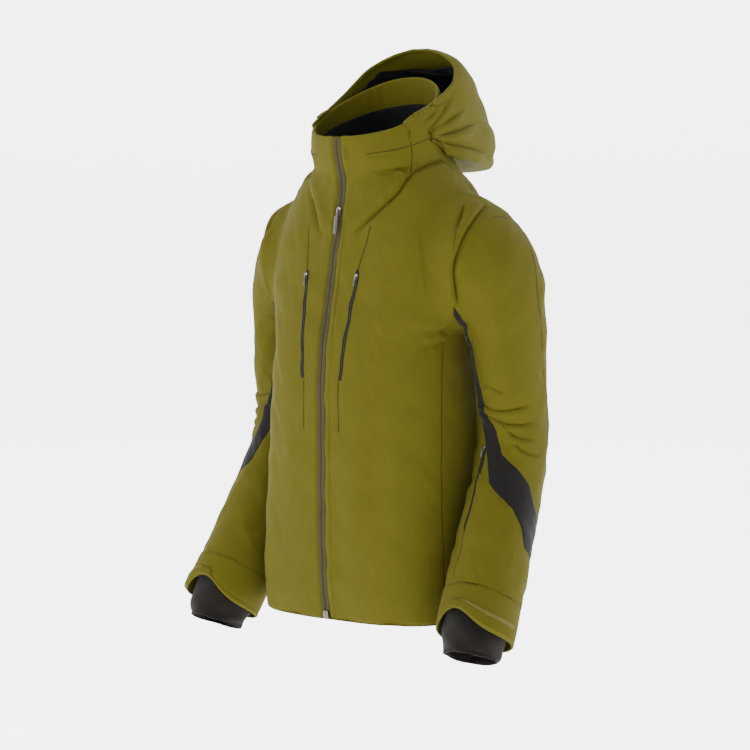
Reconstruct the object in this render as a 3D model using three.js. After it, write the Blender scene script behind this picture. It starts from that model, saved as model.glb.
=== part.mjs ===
// Insulated ski jacket, worn shape, arms hanging. Millimetres, +Z up, front towards -Y, wearer's left at +X.
// It is drawn with the front hem at height 0, then moved so that the hanger loop is the origin.
import * as THREE from 'three';

// Driving sizes
const neckHeight = 735;
const armpit = { x: 160, z: 452 };
const shoulderHeight = 672;
const shellThickness = 3;
const liningThickness = 1.5;
const liningDepth = 12;
const hangerLoop = { y: 58, z: 742 };
const zipEdge = 7.5;
const seamGap = 0.4;
const yokeGap = 2.6;
const patchLift = 3.2;
const patchThickness = 1.4;

// Torso outline at each height: half width, front and back reach, and how square its corners are.
const torsoStations = [
  { z: 0, side: 190, front: -172, back: 150, square: 3.0 },
  { z: 35, side: 190, front: -178, back: 150, square: 3.0 },
  { z: 100, side: 186, front: -183, back: 148, square: 3.0 },
  { z: 200, side: 175, front: -186, back: 145, square: 3.0 },
  { z: 300, side: 169, front: -186, back: 142, square: 3.0 },
  { z: 400, side: 159, front: -186, back: 138, square: 3.0 },
  { z: 450, side: 156, front: -179, back: 134, square: 3.0 },
  { z: 510, side: 164, front: -167, back: 130, square: 3.0 },
  { z: 570, side: 168, front: -155, back: 122, square: 2.9 },
  { z: 625, side: 170, front: -144, back: 114, square: 2.7 },
  { z: 672, side: 170, front: -134.6, back: 104, square: 2.4 },
  { z: 705, side: 143, front: -133, back: 94, square: 2.1 },
  { z: 737, side: 115, front: -137, back: 84, square: 2.0 },
];

// Sleeve rings that turn from the upright armhole to the level upper arm, about the armpit.
const shoulderTurn = [
  { turn: 0, reach: 208, depth: 98 },
  { turn: 24, reach: 204, depth: 90 },
  { turn: 47, reach: 172, depth: 79 },
  { turn: 69, reach: 140, depth: 70 },
  { turn: 90, reach: 120, depth: 66 },
];
// Sleeve rings below the armpit: centre, half width, half depth and forward lean of the forearm in degrees.
const armStations = [
  { x: 229, y: 7, z: 380, half: 54, depth: 64, lean: 2 },
  { x: 232, y: 12, z: 289, half: 54, depth: 62, lean: 12 },
  { x: 236, y: -8, z: 225, half: 54, depth: 64, lean: 24 },
  { x: 241, y: -38, z: 167, half: 56, depth: 65, lean: 28 },
  { x: 249, y: -77, z: 93, half: 60, depth: 65, lean: 29 },
  { x: 254, y: -104, z: 46, half: 62, depth: 65, lean: 29 },
];
const cuffStations = [
  { x: 254, y: -105, z: 44, half: 63, depth: 66, lean: 29 },
  { x: 258, y: -120, z: 14, half: 63, depth: 66, lean: 29 },
  { x: 262, y: -132, z: -8, half: 61, depth: 64, lean: 28 },
];
const gaiterStations = [
  { x: 256, y: -114, z: 26, half: 52, depth: 54, lean: 29 },
  { x: 261, y: -130, z: -6, half: 50, depth: 52, lean: 27 },
  { x: 265, y: -140, z: -28, half: 45, depth: 46, lean: 22 },
];

// Hood, from the neck seam to the top: rim half width, rim depth and height, and the same at the back.
const hoodStations = [
  { side: 122, rim: -20, rimZ: 746, back: 94, backZ: 744 },
  { side: 122, rim: -30, rimZ: 753, back: 150, backZ: 720 },
  { side: 121, rim: -36, rimZ: 763, back: 203, backZ: 721 },
  { side: 119, rim: -42, rimZ: 777, back: 227, backZ: 752 },
  { side: 115, rim: -44, rimZ: 799, back: 226, backZ: 790 },
  { side: 111, rim: -28, rimZ: 830, back: 194, backZ: 827 },
  { side: 102, rim: 5, rimZ: 862, back: 152, backZ: 860 },
  { side: 84, rim: 42, rimZ: 892, back: 112, backZ: 892 },
  { side: 40, rim: 64, rimZ: 915, back: 84, backZ: 914 },
];

// Collar: lower ring at the neck seam and upper ring at its free edge.
const collarFoot = { side: 114, middle: -26, depth: 108, frontZ: 714, rise: 28, curve: 0.5 };
const collarEdge = { side: 103, middle: -46, depth: 101, frontZ: 769, rise: 103, curve: 1.28 };

// Zips
const mainZip = { slider: 650, tapeWidth: 5, chainHalf: 1.9, foot: 4, footLength: 11.4, top: 711 };
const chestZip = { top: { x: 52, z: 556 }, foot: { x: 35, z: 398 }, half: 3.6 };
const clearOfTeeth = 1.2;
const sealedZipLift = 2.6;
const sliderLift = 5.4;

// Pieces that lie on a sleeve: places along its rings, and angles round them.
const sleevePieces = {
  lining: { from: 0.3, toEnd: 0.5, depth: 10 },
  strip: { from: 3.6, to: 5.9, low: -158, high: -128 },
  elbow: { from: 6.05, to: 7.7, low: -78, high: 40 },
  hook: { from: 0.55, to: 1.5, low: -118, high: -28 },
  tab: { from: 0.5, to: 1.55, low: -112, high: 10 },
  forearmZip: { from: 6.15, to: 7.9, low: -100, high: -93 },
  forearmSlider: { from: 6.2, to: 6.38, low: -100, high: -93 },
  forearmPocket: { from: 8, to: 9.6, low: -112, high: -20 },
  pitZip: { from: 3.3, to: 5.6, low: -124, high: -119 },
  pitSlider: { from: 3.6, to: 3.95, low: -124, high: -119 },
};
const hoodSeam = 58;
const sideSeam = 142;
const shoulderSeam = -8;
const backLiningEdge = 130;
const sleeveClearance = 15;
const forearmSlant = 0.25;

const finishes = {
  shellFabric: new THREE.MeshStandardMaterial({ color: 0x7b7029, roughness: 0.82, metalness: 0 }),
  stretchFabric: new THREE.MeshStandardMaterial({ color: 0x1c1a19, roughness: 0.88, metalness: 0 }),
  knitRib: new THREE.MeshStandardMaterial({ color: 0x1d1a16, roughness: 0.9, metalness: 0 }),
  liningFabric: new THREE.MeshStandardMaterial({ color: 0x151413, roughness: 0.75, metalness: 0 }),
  fleece: new THREE.MeshStandardMaterial({ color: 0x171614, roughness: 1, metalness: 0 }),
  zipTape: new THREE.MeshStandardMaterial({ color: 0x5a5238, roughness: 0.7, metalness: 0 }),
  sealedZip: new THREE.MeshStandardMaterial({ color: 0x161616, roughness: 0.45, metalness: 0 }),
  zipMetal: new THREE.MeshStandardMaterial({ color: 0xa9a8a4, roughness: 0.3, metalness: 1 }),
  softPull: new THREE.MeshStandardMaterial({ color: 0x6d6530, roughness: 0.7, metalness: 0 }),
  hookFabric: new THREE.MeshStandardMaterial({ color: 0x706430, roughness: 0.95, metalness: 0 }),
};

const jacket = new THREE.Group();
jacket.position.set(0, -hangerLoop.y, -hangerLoop.z);

const mix = THREE.MathUtils.lerp;
const radians = THREE.MathUtils.degToRad;

// Smooth value of one field at a place between stations, where place counts stations from 0.
function between(stations, place, field) {
  const last = stations.length - 1;
  const low = Math.min(Math.floor(place), last - 1);
  const at = (index) => stations[Math.max(0, Math.min(last, index))][field];
  const t = place - low;
  const leave = (at(low + 1) - at(low - 1)) / 2;
  const arrive = (at(low + 2) - at(low)) / 2;
  const rise = at(low + 1) - at(low);
  return at(low) + t * (leave + t * (3 * rise - 2 * leave - arrive + t * (leave + arrive - 2 * rise)));
}

// Straight-line value of a torso field at a height.
function torsoAt(z, field) {
  let low = 0;
  while (low < torsoStations.length - 2 && torsoStations[low + 1].z < z) {
    low += 1;
  }
  const below = torsoStations[low];
  const above = torsoStations[low + 1];
  return mix(below[field], above[field], (z - below.z) / (above.z - below.z));
}

const power = (value, exponent) => Math.sign(value) * Math.abs(value) ** exponent;

// Point on the torso; angle -90 is the front, 0 the wearer's left side and 90 the back.
function torsoPoint(angle, z) {
  const exponent = 2 / torsoAt(z, 'square');
  const front = torsoAt(z, 'front');
  const back = torsoAt(z, 'back');
  const x = torsoAt(z, 'side') * power(Math.cos(radians(angle)), exponent);
  const y = (front + back) / 2 + (back - front) / 2 * power(Math.sin(radians(angle)), exponent);
  return new THREE.Vector3(x, y, z);
}

// Angle, counted from the wearer's left side, at which the torso is x wide.
function angleAt(x, z) {
  const share = Math.min(1, x / torsoAt(z, 'side'));
  return THREE.MathUtils.radToDeg(Math.acos(share ** (torsoAt(z, 'square') / 2)));
}

const frontPoint = (x, z) => (
  x >= 0 ? torsoPoint(-angleAt(x, z), z) : torsoPoint(angleAt(-x, z) - 180, z)
);

// Closed skin of a surface: place(u, v) is on the surface, and the skin starts depth below it.
function skin(place, columns, rows, depth, thickness, wraps = false) {
  const across = wraps ? columns : columns + 1;
  const step = 1e-3;
  const positions = [];
  const faces = [];
  for (const below of [depth, depth + thickness]) {
    for (let row = 0; row <= rows; row += 1) {
      for (let column = 0; column < across; column += 1) {
        const u = column / columns;
        const v = row / rows;
        const uLow = wraps ? u - step : Math.max(0, u - step);
        const uHigh = wraps ? u + step : Math.min(1, u + step);
        const along = place(uHigh, v).sub(place(uLow, v));
        const up = place(u, Math.min(1, v + step)).sub(place(u, Math.max(0, v - step)));
        const outward = along.cross(up).normalize();
        const point = place(u, v).addScaledVector(outward, -below);
        positions.push(point.x, point.y, point.z);
      }
    }
  }
  const layer = across * (rows + 1);
  const outer = (column, row) => row * across + (column % across);
  const inner = (column, row) => layer + outer(column, row);
  const quad = (a, b, c, d) => faces.push(a, b, c, a, c, d);
  for (let row = 0; row < rows; row += 1) {
    for (let column = 0; column < columns; column += 1) {
      quad(outer(column, row), outer(column + 1, row), outer(column + 1, row + 1), outer(column, row + 1));
      quad(inner(column, row), inner(column, row + 1), inner(column + 1, row + 1), inner(column + 1, row));
    }
    if (!wraps) {
      quad(outer(0, row), outer(0, row + 1), inner(0, row + 1), inner(0, row));
      quad(outer(columns, row), inner(columns, row), inner(columns, row + 1), outer(columns, row + 1));
    }
  }
  for (let column = 0; column < columns; column += 1) {
    quad(outer(column, 0), inner(column, 0), inner(column + 1, 0), outer(column + 1, 0));
    quad(outer(column, rows), outer(column + 1, rows), inner(column + 1, rows), inner(column, rows));
  }
  const geometry = new THREE.BufferGeometry();
  geometry.setAttribute('position', new THREE.Float32BufferAttribute(positions, 3));
  geometry.setIndex(faces);
  return geometry;
}

// The same solid on the wearer's other side.
function mirrored(geometry) {
  const copy = geometry.clone().scale(-1, 1, 1);
  const faces = copy.index.array;
  for (let face = 0; face < faces.length; face += 3) {
    [faces[face], faces[face + 1]] = [faces[face + 1], faces[face]];
  }
  return copy;
}

function add(name, geometry, finish) {
  geometry.computeVertexNormals();
  const mesh = new THREE.Mesh(geometry, finish.clone());
  mesh.name = name;
  jacket.add(mesh);
  return mesh;
}

function addPair(name, geometry, finish) {
  add(`${name}_left`, geometry, finish);
  add(`${name}_right`, mirrored(geometry), finish);
}

// Torso panels. Each spans from one seam angle to another, over a range of heights.
function torsoPanel(fromAngle, toAngle, lowZ, highZ) {
  return (u, v) => {
    const z = mix(lowZ, typeof highZ === 'function' ? highZ(u) : highZ, v);
    return torsoPoint(mix(fromAngle(z), toAngle(z), u), z);
  };
}

const frontPanel = torsoPanel(
  (z) => -angleAt(zipEdge, z), (z) => -angleAt(sideSeam, z), 0, shoulderHeight,
);
addPair('front_panel', skin(frontPanel, 6, 14, 0, shellThickness), finishes.shellFabric);

const sidePanel = torsoPanel(
  (z) => -angleAt(sideSeam + 1, z), (z) => angleAt(sideSeam + 1, z), 0, armpit.z - 4,
);
addPair('side_panel', skin(sidePanel, 5, 10, 0, shellThickness), finishes.shellFabric);

const backPanel = torsoPanel((z) => angleAt(sideSeam, z), (z) => 180 - angleAt(sideSeam, z), 0, shoulderHeight);
add('back_panel', skin(backPanel, 10, 12, 0, shellThickness), finishes.shellFabric);

const frontYoke = torsoPanel(
  (z) => -angleAt(zipEdge, z), () => shoulderSeam, shoulderHeight + yokeGap, (u) => mix(713, neckHeight - 1, u ** 0.6),
);
addPair('front_yoke', skin(frontYoke, 7, 3, 0, shellThickness), finishes.shellFabric);

const backYoke = torsoPanel(
  () => shoulderSeam + 0.3, () => 179.7 - shoulderSeam, shoulderHeight + yokeGap, neckHeight,
);
add('back_yoke', skin(backYoke, 16, 3, 0, shellThickness), finishes.shellFabric);

// Lining inside the torso, open at the front zip.
const bodyLining = torsoPanel((z) => -angleAt(28, z), (z) => 180 + angleAt(28, z), 22, armpit.z - 12);
add('body_lining', skin(bodyLining, 16, 5, liningDepth, liningThickness), finishes.liningFabric);
const backLining = torsoPanel(
  (z) => angleAt(backLiningEdge, z), (z) => 180 - angleAt(backLiningEdge, z), armpit.z - 11, neckHeight - 8,
);
add('yoke_lining', skin(backLining, 8, 5, liningDepth, liningThickness), finishes.liningFabric);

// Elastic skirt that snaps round the hips under the lining's hem.
const skirt = torsoPanel((z) => -angleAt(34, z), (z) => 180 + angleAt(34, z), 110, 210);
add('powder_skirt', skin(skirt, 16, 2, liningDepth + 12, 1.5), finishes.liningFabric);

// Sleeve rings as one list of stations.
const sleeveStations = [];
for (const { turn, reach, depth } of shoulderTurn) {
  const middle = (reach + sleeveClearance) / 2;
  sleeveStations.push({
    x: armpit.x + middle * Math.sin(radians(turn)),
    y: 0,
    z: armpit.z + middle * Math.cos(radians(turn)),
    half: (reach - sleeveClearance) / 2,
    depth,
    turn,
    lean: 0,
  });
}
const level = (stations) => stations.map((station) => ({ ...station, turn: 90 }));
sleeveStations.push(...level(armStations));

// Point on a ring of a sleeve; angle 0 faces outwards, -90 forwards.
function ringPoint(stations, place, angle) {
  const value = (field) => between(stations, place, field);
  const turn = radians(value('turn'));
  const lean = radians(value('lean'));
  const outward = new THREE.Vector3(Math.sin(turn), 0, Math.cos(turn) + forearmSlant * Math.sin(lean));
  const backward = new THREE.Vector3(0, Math.cos(lean), -Math.sin(lean));
  return new THREE.Vector3(value('x'), value('y'), value('z'))
    .addScaledVector(outward.normalize(), value('half') * Math.cos(radians(angle)))
    .addScaledVector(backward, value('depth') * Math.sin(radians(angle)));
}

// Surface of a sleeve between two places and two angles; it runs downwards with v.
function sleeveArea(stations, { from, to, low = 0, high = 360 }) {
  return (u, v) => ringPoint(stations, mix(from, to, v), mix(high, low, u));
}

const armEnd = sleeveStations.length - 1;
const wholeSleeve = sleeveArea(sleeveStations, { from: 0, to: armEnd });
addPair('sleeve', skin(wholeSleeve, 16, 13, 0, shellThickness, true), finishes.shellFabric);
const { lining } = sleevePieces;
const sleeveInside = sleeveArea(sleeveStations, { from: lining.from, to: armEnd - lining.toEnd });
addPair('sleeve_lining', skin(sleeveInside, 12, 10, lining.depth, liningThickness, true), finishes.liningFabric);

const underarm = sleeveArea(sleeveStations, sleevePieces.strip);
addPair('underarm_strip', skin(underarm, 3, 7, -patchLift - 1, patchThickness), finishes.stretchFabric);
const elbow = sleeveArea(sleeveStations, sleevePieces.elbow);
addPair('elbow_patch', skin(elbow, 6, 4, -patchLift - 0.6, patchThickness), finishes.stretchFabric);

const cuffPath = level(cuffStations);
const cuffSurface = sleeveArea(cuffPath, { from: 0, to: 2 });
addPair('cuff', skin(cuffSurface, 16, 2, 0, 3.5, true), finishes.shellFabric);
const hookArea = sleeveArea(cuffPath, sleevePieces.hook);
addPair('cuff_hook_patch', skin(hookArea, 6, 1, -2.6, 1.2), finishes.hookFabric);
const tabArea = sleeveArea(cuffPath, sleevePieces.tab);
addPair('cuff_tab', skin(tabArea, 8, 1, -5.8, 2.2), finishes.shellFabric);
const gaiterSurface = sleeveArea(level(gaiterStations), { from: 0, to: 2 });
addPair('wrist_gaiter', skin(gaiterSurface, 14, 2, 0, 2, true), finishes.knitRib);

// Collar rings; the edge is low at the chin and high behind the neck.
function collarRing(ring, angle) {
  const back = Math.sin(radians(angle));
  return new THREE.Vector3(
    ring.side * Math.cos(radians(angle)),
    ring.middle + ring.depth * back,
    ring.frontZ + ring.rise * ((back + 1) / 2) ** ring.curve,
  );
}
function collarArea(fromAngle, toAngle, low, high) {
  return (u, v) => {
    const angle = mix(fromAngle, toAngle, u);
    return collarRing(collarFoot, angle).lerp(collarRing(collarEdge, angle), mix(low, high, v));
  };
}
const zipAngle = -86;
addPair('collar', skin(collarArea(zipAngle, 89.8, 0.1, 1), 10, 2, 0, shellThickness), finishes.shellFabric);
const facing = collarArea(zipAngle, 180 - zipAngle, 0.68, 0.99);
add('collar_facing', skin(facing, 20, 1, shellThickness + 1, 1.6), finishes.shellFabric);
const fleeceArea = collarArea(zipAngle, 180 - zipAngle, 0.04, 0.67);
add('collar_fleece', skin(fleeceArea, 20, 1, shellThickness + 1, 3), finishes.fleece);
const guardArea = collarArea(-84, -62, 0.25, 0.97);
add('chin_guard', skin(guardArea, 3, 2, shellThickness + 7.6, 1.6), finishes.fleece);

// Hood panels between two angles, from the neck seam to the top.
function hoodArea(fromAngle, toAngle, low, high) {
  return (u, v) => {
    const place = mix(low, high, v);
    const value = (field) => between(hoodStations, place, field);
    const angle = radians(mix(fromAngle, toAngle, u));
    const back = power(Math.sin(angle), 0.86);
    return new THREE.Vector3(
      value('side') * power(Math.cos(angle), 0.86),
      mix(value('rim'), value('back'), back),
      mix(value('rimZ'), value('backZ'), back),
    );
  };
}
const hoodTop = hoodStations.length - 1;
addPair('hood_side', skin(hoodArea(0.5, hoodSeam, 0, hoodTop), 5, 9, 0, shellThickness), finishes.shellFabric);
const hoodMiddle = hoodArea(hoodSeam + 0.4, 179.6 - hoodSeam, 0, hoodTop);
add('hood_centre', skin(hoodMiddle, 6, 9, 0, shellThickness), finishes.shellFabric);
const hoodInside = hoodArea(9, 171, 2, hoodTop - 0.5);
add('hood_lining', skin(hoodInside, 12, 6, 9, liningThickness), finishes.liningFabric);

// Main zip: two tapes, the closed tooth chain, its slider with a hanging pull, and the foot block.
const zipStrip = (fromX, toX, lowZ, highZ) => (u, v) => frontPoint(mix(fromX, toX, u), mix(lowZ, highZ, v));
const tapeEdge = mainZip.chainHalf + seamGap;
const zipBottom = mainZip.foot + mainZip.footLength + seamGap;
const tape = zipStrip(tapeEdge, tapeEdge + mainZip.tapeWidth - 0.4, zipBottom, mainZip.top);
addPair('main_zip_tape', skin(tape, 1, 14, 0.4, 1.2), finishes.zipTape);
const chain = zipStrip(-mainZip.chainHalf, mainZip.chainHalf, zipBottom, mainZip.top);
add('main_zip_chain', skin(chain, 1, 14, -0.6, 2.4), finishes.zipTape);
const footBlock = zipStrip(-5, 5, mainZip.foot, mainZip.foot + mainZip.footLength);
add('main_zip_foot', skin(footBlock, 1, 1, -1.4, 4), finishes.zipMetal);

// Places a solid on the front: its own +Y faces out of the jacket, and its +Z runs up the surface.
function onFront(mesh, x, z, lift) {
  const here = frontPoint(x, z);
  const up = frontPoint(x, z + 1).sub(frontPoint(x, z - 1)).normalize();
  const along = new THREE.Vector3(1, 0, 0);
  const out = new THREE.Vector3().crossVectors(along, up).normalize();
  mesh.position.copy(here).addScaledVector(out, lift);
  mesh.quaternion.setFromRotationMatrix(new THREE.Matrix4().makeBasis(along.negate(), out, up));
}

// Slider: a waisted plate with a bridge for the pull's ring. The outline lies in the surface.
function sliderShape(width, height, bodyDepth) {
  const outline = new THREE.Shape();
  outline.moveTo(-width * 0.36, -height / 2);
  outline.lineTo(width * 0.36, -height / 2);
  outline.lineTo(width / 2, height * 0.1);
  outline.absarc(0, height * 0.12, width / 2, 0, Math.PI, false);
  outline.lineTo(-width * 0.36, -height / 2);
  const solid = new THREE.ExtrudeGeometry(outline, { depth: bodyDepth, bevelEnabled: false, curveSegments: 6 });
  return solid.rotateX(Math.PI / 2);
}
// Pull: a long rounded tag that hangs flat against the front.
function pullShape(width, height, tagDepth) {
  const outline = new THREE.Shape();
  outline.absarc(0, -height + width / 2, width / 2, Math.PI, 2 * Math.PI, false);
  outline.lineTo(width * 0.34, 0);
  outline.lineTo(-width * 0.34, 0);
  const solid = new THREE.ExtrudeGeometry(outline, { depth: tagDepth, bevelEnabled: false, curveSegments: 6 });
  return solid.rotateX(Math.PI / 2);
}
const mainSlider = add('main_zip_slider', sliderShape(9.5, 13, 2.6), finishes.zipMetal);
onFront(mainSlider, 0, mainZip.slider, clearOfTeeth + 2.6);
const mainPull = add('main_zip_pull', pullShape(9, 38, 2.4), finishes.softPull);
onFront(mainPull, 0, mainZip.slider + 2, clearOfTeeth + 5.6);

// Chest pockets: a sealed zip on the panel, its slider at the top and the pocket bag behind the panel.
function chestArea(halfWidth, from, to) {
  return (u, v) => {
    const place = mix(from, to, v);
    const x = mix(chestZip.foot.x, chestZip.top.x, place);
    return frontPoint(x + mix(-halfWidth, halfWidth, u), mix(chestZip.foot.z, chestZip.top.z, place));
  };
}
addPair('chest_zip', skin(chestArea(chestZip.half, 0, 1), 1, 5, -2.2, 1.3), finishes.sealedZip);
for (const side of [1, -1]) {
  const sideName = side > 0 ? 'left' : 'right';
  const slider = add(`chest_slider_${sideName}`, sliderShape(6.5, 12, 2), finishes.zipMetal);
  onFront(slider, side * (chestZip.top.x - 0.8), chestZip.top.z - 8, 5);
}
const bagArea = (u, v) => frontPoint(mix(30, 112, u), mix(385, 560, v));
addPair('chest_pocket_bag', skin(bagArea, 4, 5, 5, 2.4), finishes.liningFabric);

// Forearm pocket on the wearer's left sleeve only.
const forearmZip = sleeveArea(sleeveStations, sleevePieces.forearmZip);
add('forearm_zip', skin(forearmZip, 1, 5, -sealedZipLift, 1.3), finishes.sealedZip);
const forearmPocket = sleeveArea(sleeveStations, sleevePieces.forearmPocket);
add('forearm_pocket', skin(forearmPocket, 6, 4, -4.4, 2.1), finishes.shellFabric);
const forearmSlider = sleeveArea(sleeveStations, sleevePieces.forearmSlider);
add('forearm_slider', skin(forearmSlider, 1, 1, -sliderLift, 2.3), finishes.zipMetal);

// Pit zips down the front of the underarm, with their sliders.
const pitZip = sleeveArea(sleeveStations, sleevePieces.pitZip);
addPair('pit_zip', skin(pitZip, 1, 6, -sealedZipLift, 1.3), finishes.sealedZip);
const pitSlider = sleeveArea(sleeveStations, sleevePieces.pitSlider);
addPair('pit_slider', skin(pitSlider, 1, 1, -sliderLift, 2.3), finishes.zipMetal);

// Hanger loop: a flat tape bowed inside the back of the neck; the origin is under its middle.
const loopSection = new THREE.Shape();
loopSection.moveTo(-0.8, -3);
loopSection.lineTo(0.8, -3);
loopSection.lineTo(0.8, 3);
loopSection.lineTo(-0.8, 3);
loopSection.closePath();
const loopPath = new THREE.QuadraticBezierCurve3(
  new THREE.Vector3(-34, 4, -8), new THREE.Vector3(0, -10, 12), new THREE.Vector3(34, 4, -8),
);
const loop = new THREE.ExtrudeGeometry(loopSection, { steps: 12, extrudePath: loopPath, bevelEnabled: false });
const hanger = add('hanger_loop', loop, finishes.liningFabric);
hanger.position.set(0, hangerLoop.y, hangerLoop.z);

const group = new THREE.Group();
group.add(jacket);

export default group;
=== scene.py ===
import math
import bpy
import bmesh
import numpy as np
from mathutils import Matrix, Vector
from mathutils.bvhtree import BVHTree


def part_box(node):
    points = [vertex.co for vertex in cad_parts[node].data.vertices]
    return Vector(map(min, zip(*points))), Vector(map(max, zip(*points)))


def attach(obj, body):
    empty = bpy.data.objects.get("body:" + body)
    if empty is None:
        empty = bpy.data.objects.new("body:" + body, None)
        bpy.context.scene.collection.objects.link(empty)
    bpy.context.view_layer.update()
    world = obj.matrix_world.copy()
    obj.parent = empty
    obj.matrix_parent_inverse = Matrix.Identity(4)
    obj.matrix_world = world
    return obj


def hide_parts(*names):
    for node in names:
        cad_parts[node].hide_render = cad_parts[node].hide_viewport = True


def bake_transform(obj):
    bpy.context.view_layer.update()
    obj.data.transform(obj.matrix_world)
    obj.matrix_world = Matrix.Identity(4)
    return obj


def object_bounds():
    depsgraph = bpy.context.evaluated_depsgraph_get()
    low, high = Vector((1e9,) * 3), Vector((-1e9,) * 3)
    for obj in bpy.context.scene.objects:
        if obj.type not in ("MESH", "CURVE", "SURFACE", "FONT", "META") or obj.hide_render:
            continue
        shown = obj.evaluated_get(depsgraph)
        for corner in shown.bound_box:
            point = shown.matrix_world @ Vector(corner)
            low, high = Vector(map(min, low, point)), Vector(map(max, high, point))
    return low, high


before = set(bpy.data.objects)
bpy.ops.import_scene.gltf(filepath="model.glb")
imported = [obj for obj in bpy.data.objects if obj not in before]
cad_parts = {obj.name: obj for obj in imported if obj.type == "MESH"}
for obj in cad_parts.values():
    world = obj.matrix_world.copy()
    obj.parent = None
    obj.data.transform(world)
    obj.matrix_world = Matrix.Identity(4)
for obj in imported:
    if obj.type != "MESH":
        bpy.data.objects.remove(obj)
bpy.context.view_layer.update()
print("frame loaded", len(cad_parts), "nodes")

# Tailor's measures below are millimetres: x across, y to the back, z up from the front hem.
frontReach = -186
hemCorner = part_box("front_panel_left")[0]


def toFrame(points):
    # millimetres on the garment to metres in the frame
    return np.asarray(points, float) / 1000 + np.array([0, hemCorner[1] - frontReach / 1000, hemCorner[2]])


camera = {"azimuth": 38, "distance": 3.8, "height": 0.66, "aimHeight": 0.44, "lens": 111.4,
          "shiftX": -0.024, "shiftY": -0.0467}


def addCamera():
    turn = math.radians(camera["azimuth"])
    eye = [1000 * camera["distance"] * math.sin(turn), -1000 * camera["distance"] * math.cos(turn),
           1000 * camera["height"]]
    eye = Vector(toFrame(eye))
    aim = Vector(toFrame([0, 0, 1000 * camera["aimHeight"]]))
    data = bpy.data.cameras.new("camera")
    data.lens = camera["lens"]
    data.sensor_width = 36
    data.shift_x = camera["shiftX"]
    data.shift_y = camera["shiftY"]
    eyeObject = bpy.data.objects.new("camera", data)
    eyeObject.location = eye
    eyeObject.rotation_euler = (aim - eye).to_track_quat("-Z", "Y").to_euler()
    bpy.context.scene.collection.objects.link(eyeObject)
    bpy.context.scene.camera = eyeObject


studio = {"world": 0.85, "floorDrop": 0.3, "floorColour": (0.95, 0.95, 0.95), "floorGlow": 2.6,
          "reach": 40, "depth": 7, "bend": 1.5, "wallHeight": 20, "aimHeight": 450,
          "key": (-2.4, -3.0, 2.6, 1.5, 230), "fill": (3.6, -2.6, 1.2, 3.0, 95), "top": (0.4, 0.6, 3.4, 2.4, 80),
          "rim": (2.2, 3.0, 1.6, 2.0, 60)}


def addLights():
    world = bpy.data.worlds.new("studio")
    world.use_nodes = True
    world.node_tree.nodes["Background"].inputs["Color"].default_value = (1, 1, 1, 1)
    world.node_tree.nodes["Background"].inputs["Strength"].default_value = studio["world"]
    bpy.context.scene.world = world
    middle = Vector(toFrame([0, 0, studio["aimHeight"]]))
    for name in ("key", "fill", "top", "rim"):
        x, y, z, size, power = studio[name]
        light = bpy.data.lights.new(name, "AREA")
        light.size = size
        light.energy = power
        lamp = bpy.data.objects.new(name, light)
        lamp.location = middle + Vector((x, y, z))
        lamp.rotation_euler = (middle - lamp.location).to_track_quat("-Z", "Y").to_euler()
        bpy.context.scene.collection.objects.link(lamp)


def addBackdrop():
    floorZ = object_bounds()[0][2] - studio["floorDrop"]
    reach, depth, bend = studio["reach"], studio["depth"], studio["bend"]
    profile = [(-reach, 0), (depth - bend, 0)]
    for turn in np.linspace(0.1, math.pi / 2, 12):
        profile.append((depth - bend + bend * math.sin(turn), bend - bend * math.cos(turn)))
    profile.append((depth, studio["wallHeight"]))
    turn = math.radians(camera["azimuth"])
    away = Vector((-math.sin(turn), math.cos(turn), 0))
    across = Vector((math.cos(turn), math.sin(turn), 0))
    points = []
    for side in (-reach, reach):
        points += [across * side + away * along + Vector((0, 0, floorZ + up)) for along, up in profile]
    count = len(profile)
    faces = [(k, k + 1, count + k + 1, count + k) for k in range(count - 1)]
    mesh = bpy.data.meshes.new("backdrop")
    mesh.from_pydata(points, [], faces)
    for face in mesh.polygons:
        face.use_smooth = True
    backdrop = bpy.data.objects.new("backdrop", mesh)
    bpy.context.scene.collection.objects.link(backdrop)
    tree = Tree("backdropPaper")
    tree.surface({"Base Color": (*studio["floorColour"], 1), "Roughness": 0.9, "Emission Color": (1, 1, 1, 1),
                  "Emission Strength": studio["floorGlow"]})
    mesh.materials.append(tree.material)


class Wire:
    # a socket, so that sums on it read as sums
    def __init__(self, tree, socket):
        self.tree = tree
        self.socket = socket

    def math(self, operation, first, second):
        return self.tree.add("ShaderNodeMath", {"operation": operation}, {0: first, 1: second})

    def __add__(self, other):
        return self.math("ADD", self, other)

    def __sub__(self, other):
        return self.math("SUBTRACT", self, other)

    def __mul__(self, other):
        return self.math("MULTIPLY", self, other)

    def __radd__(self, other):
        return self.math("ADD", other, self)


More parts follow.
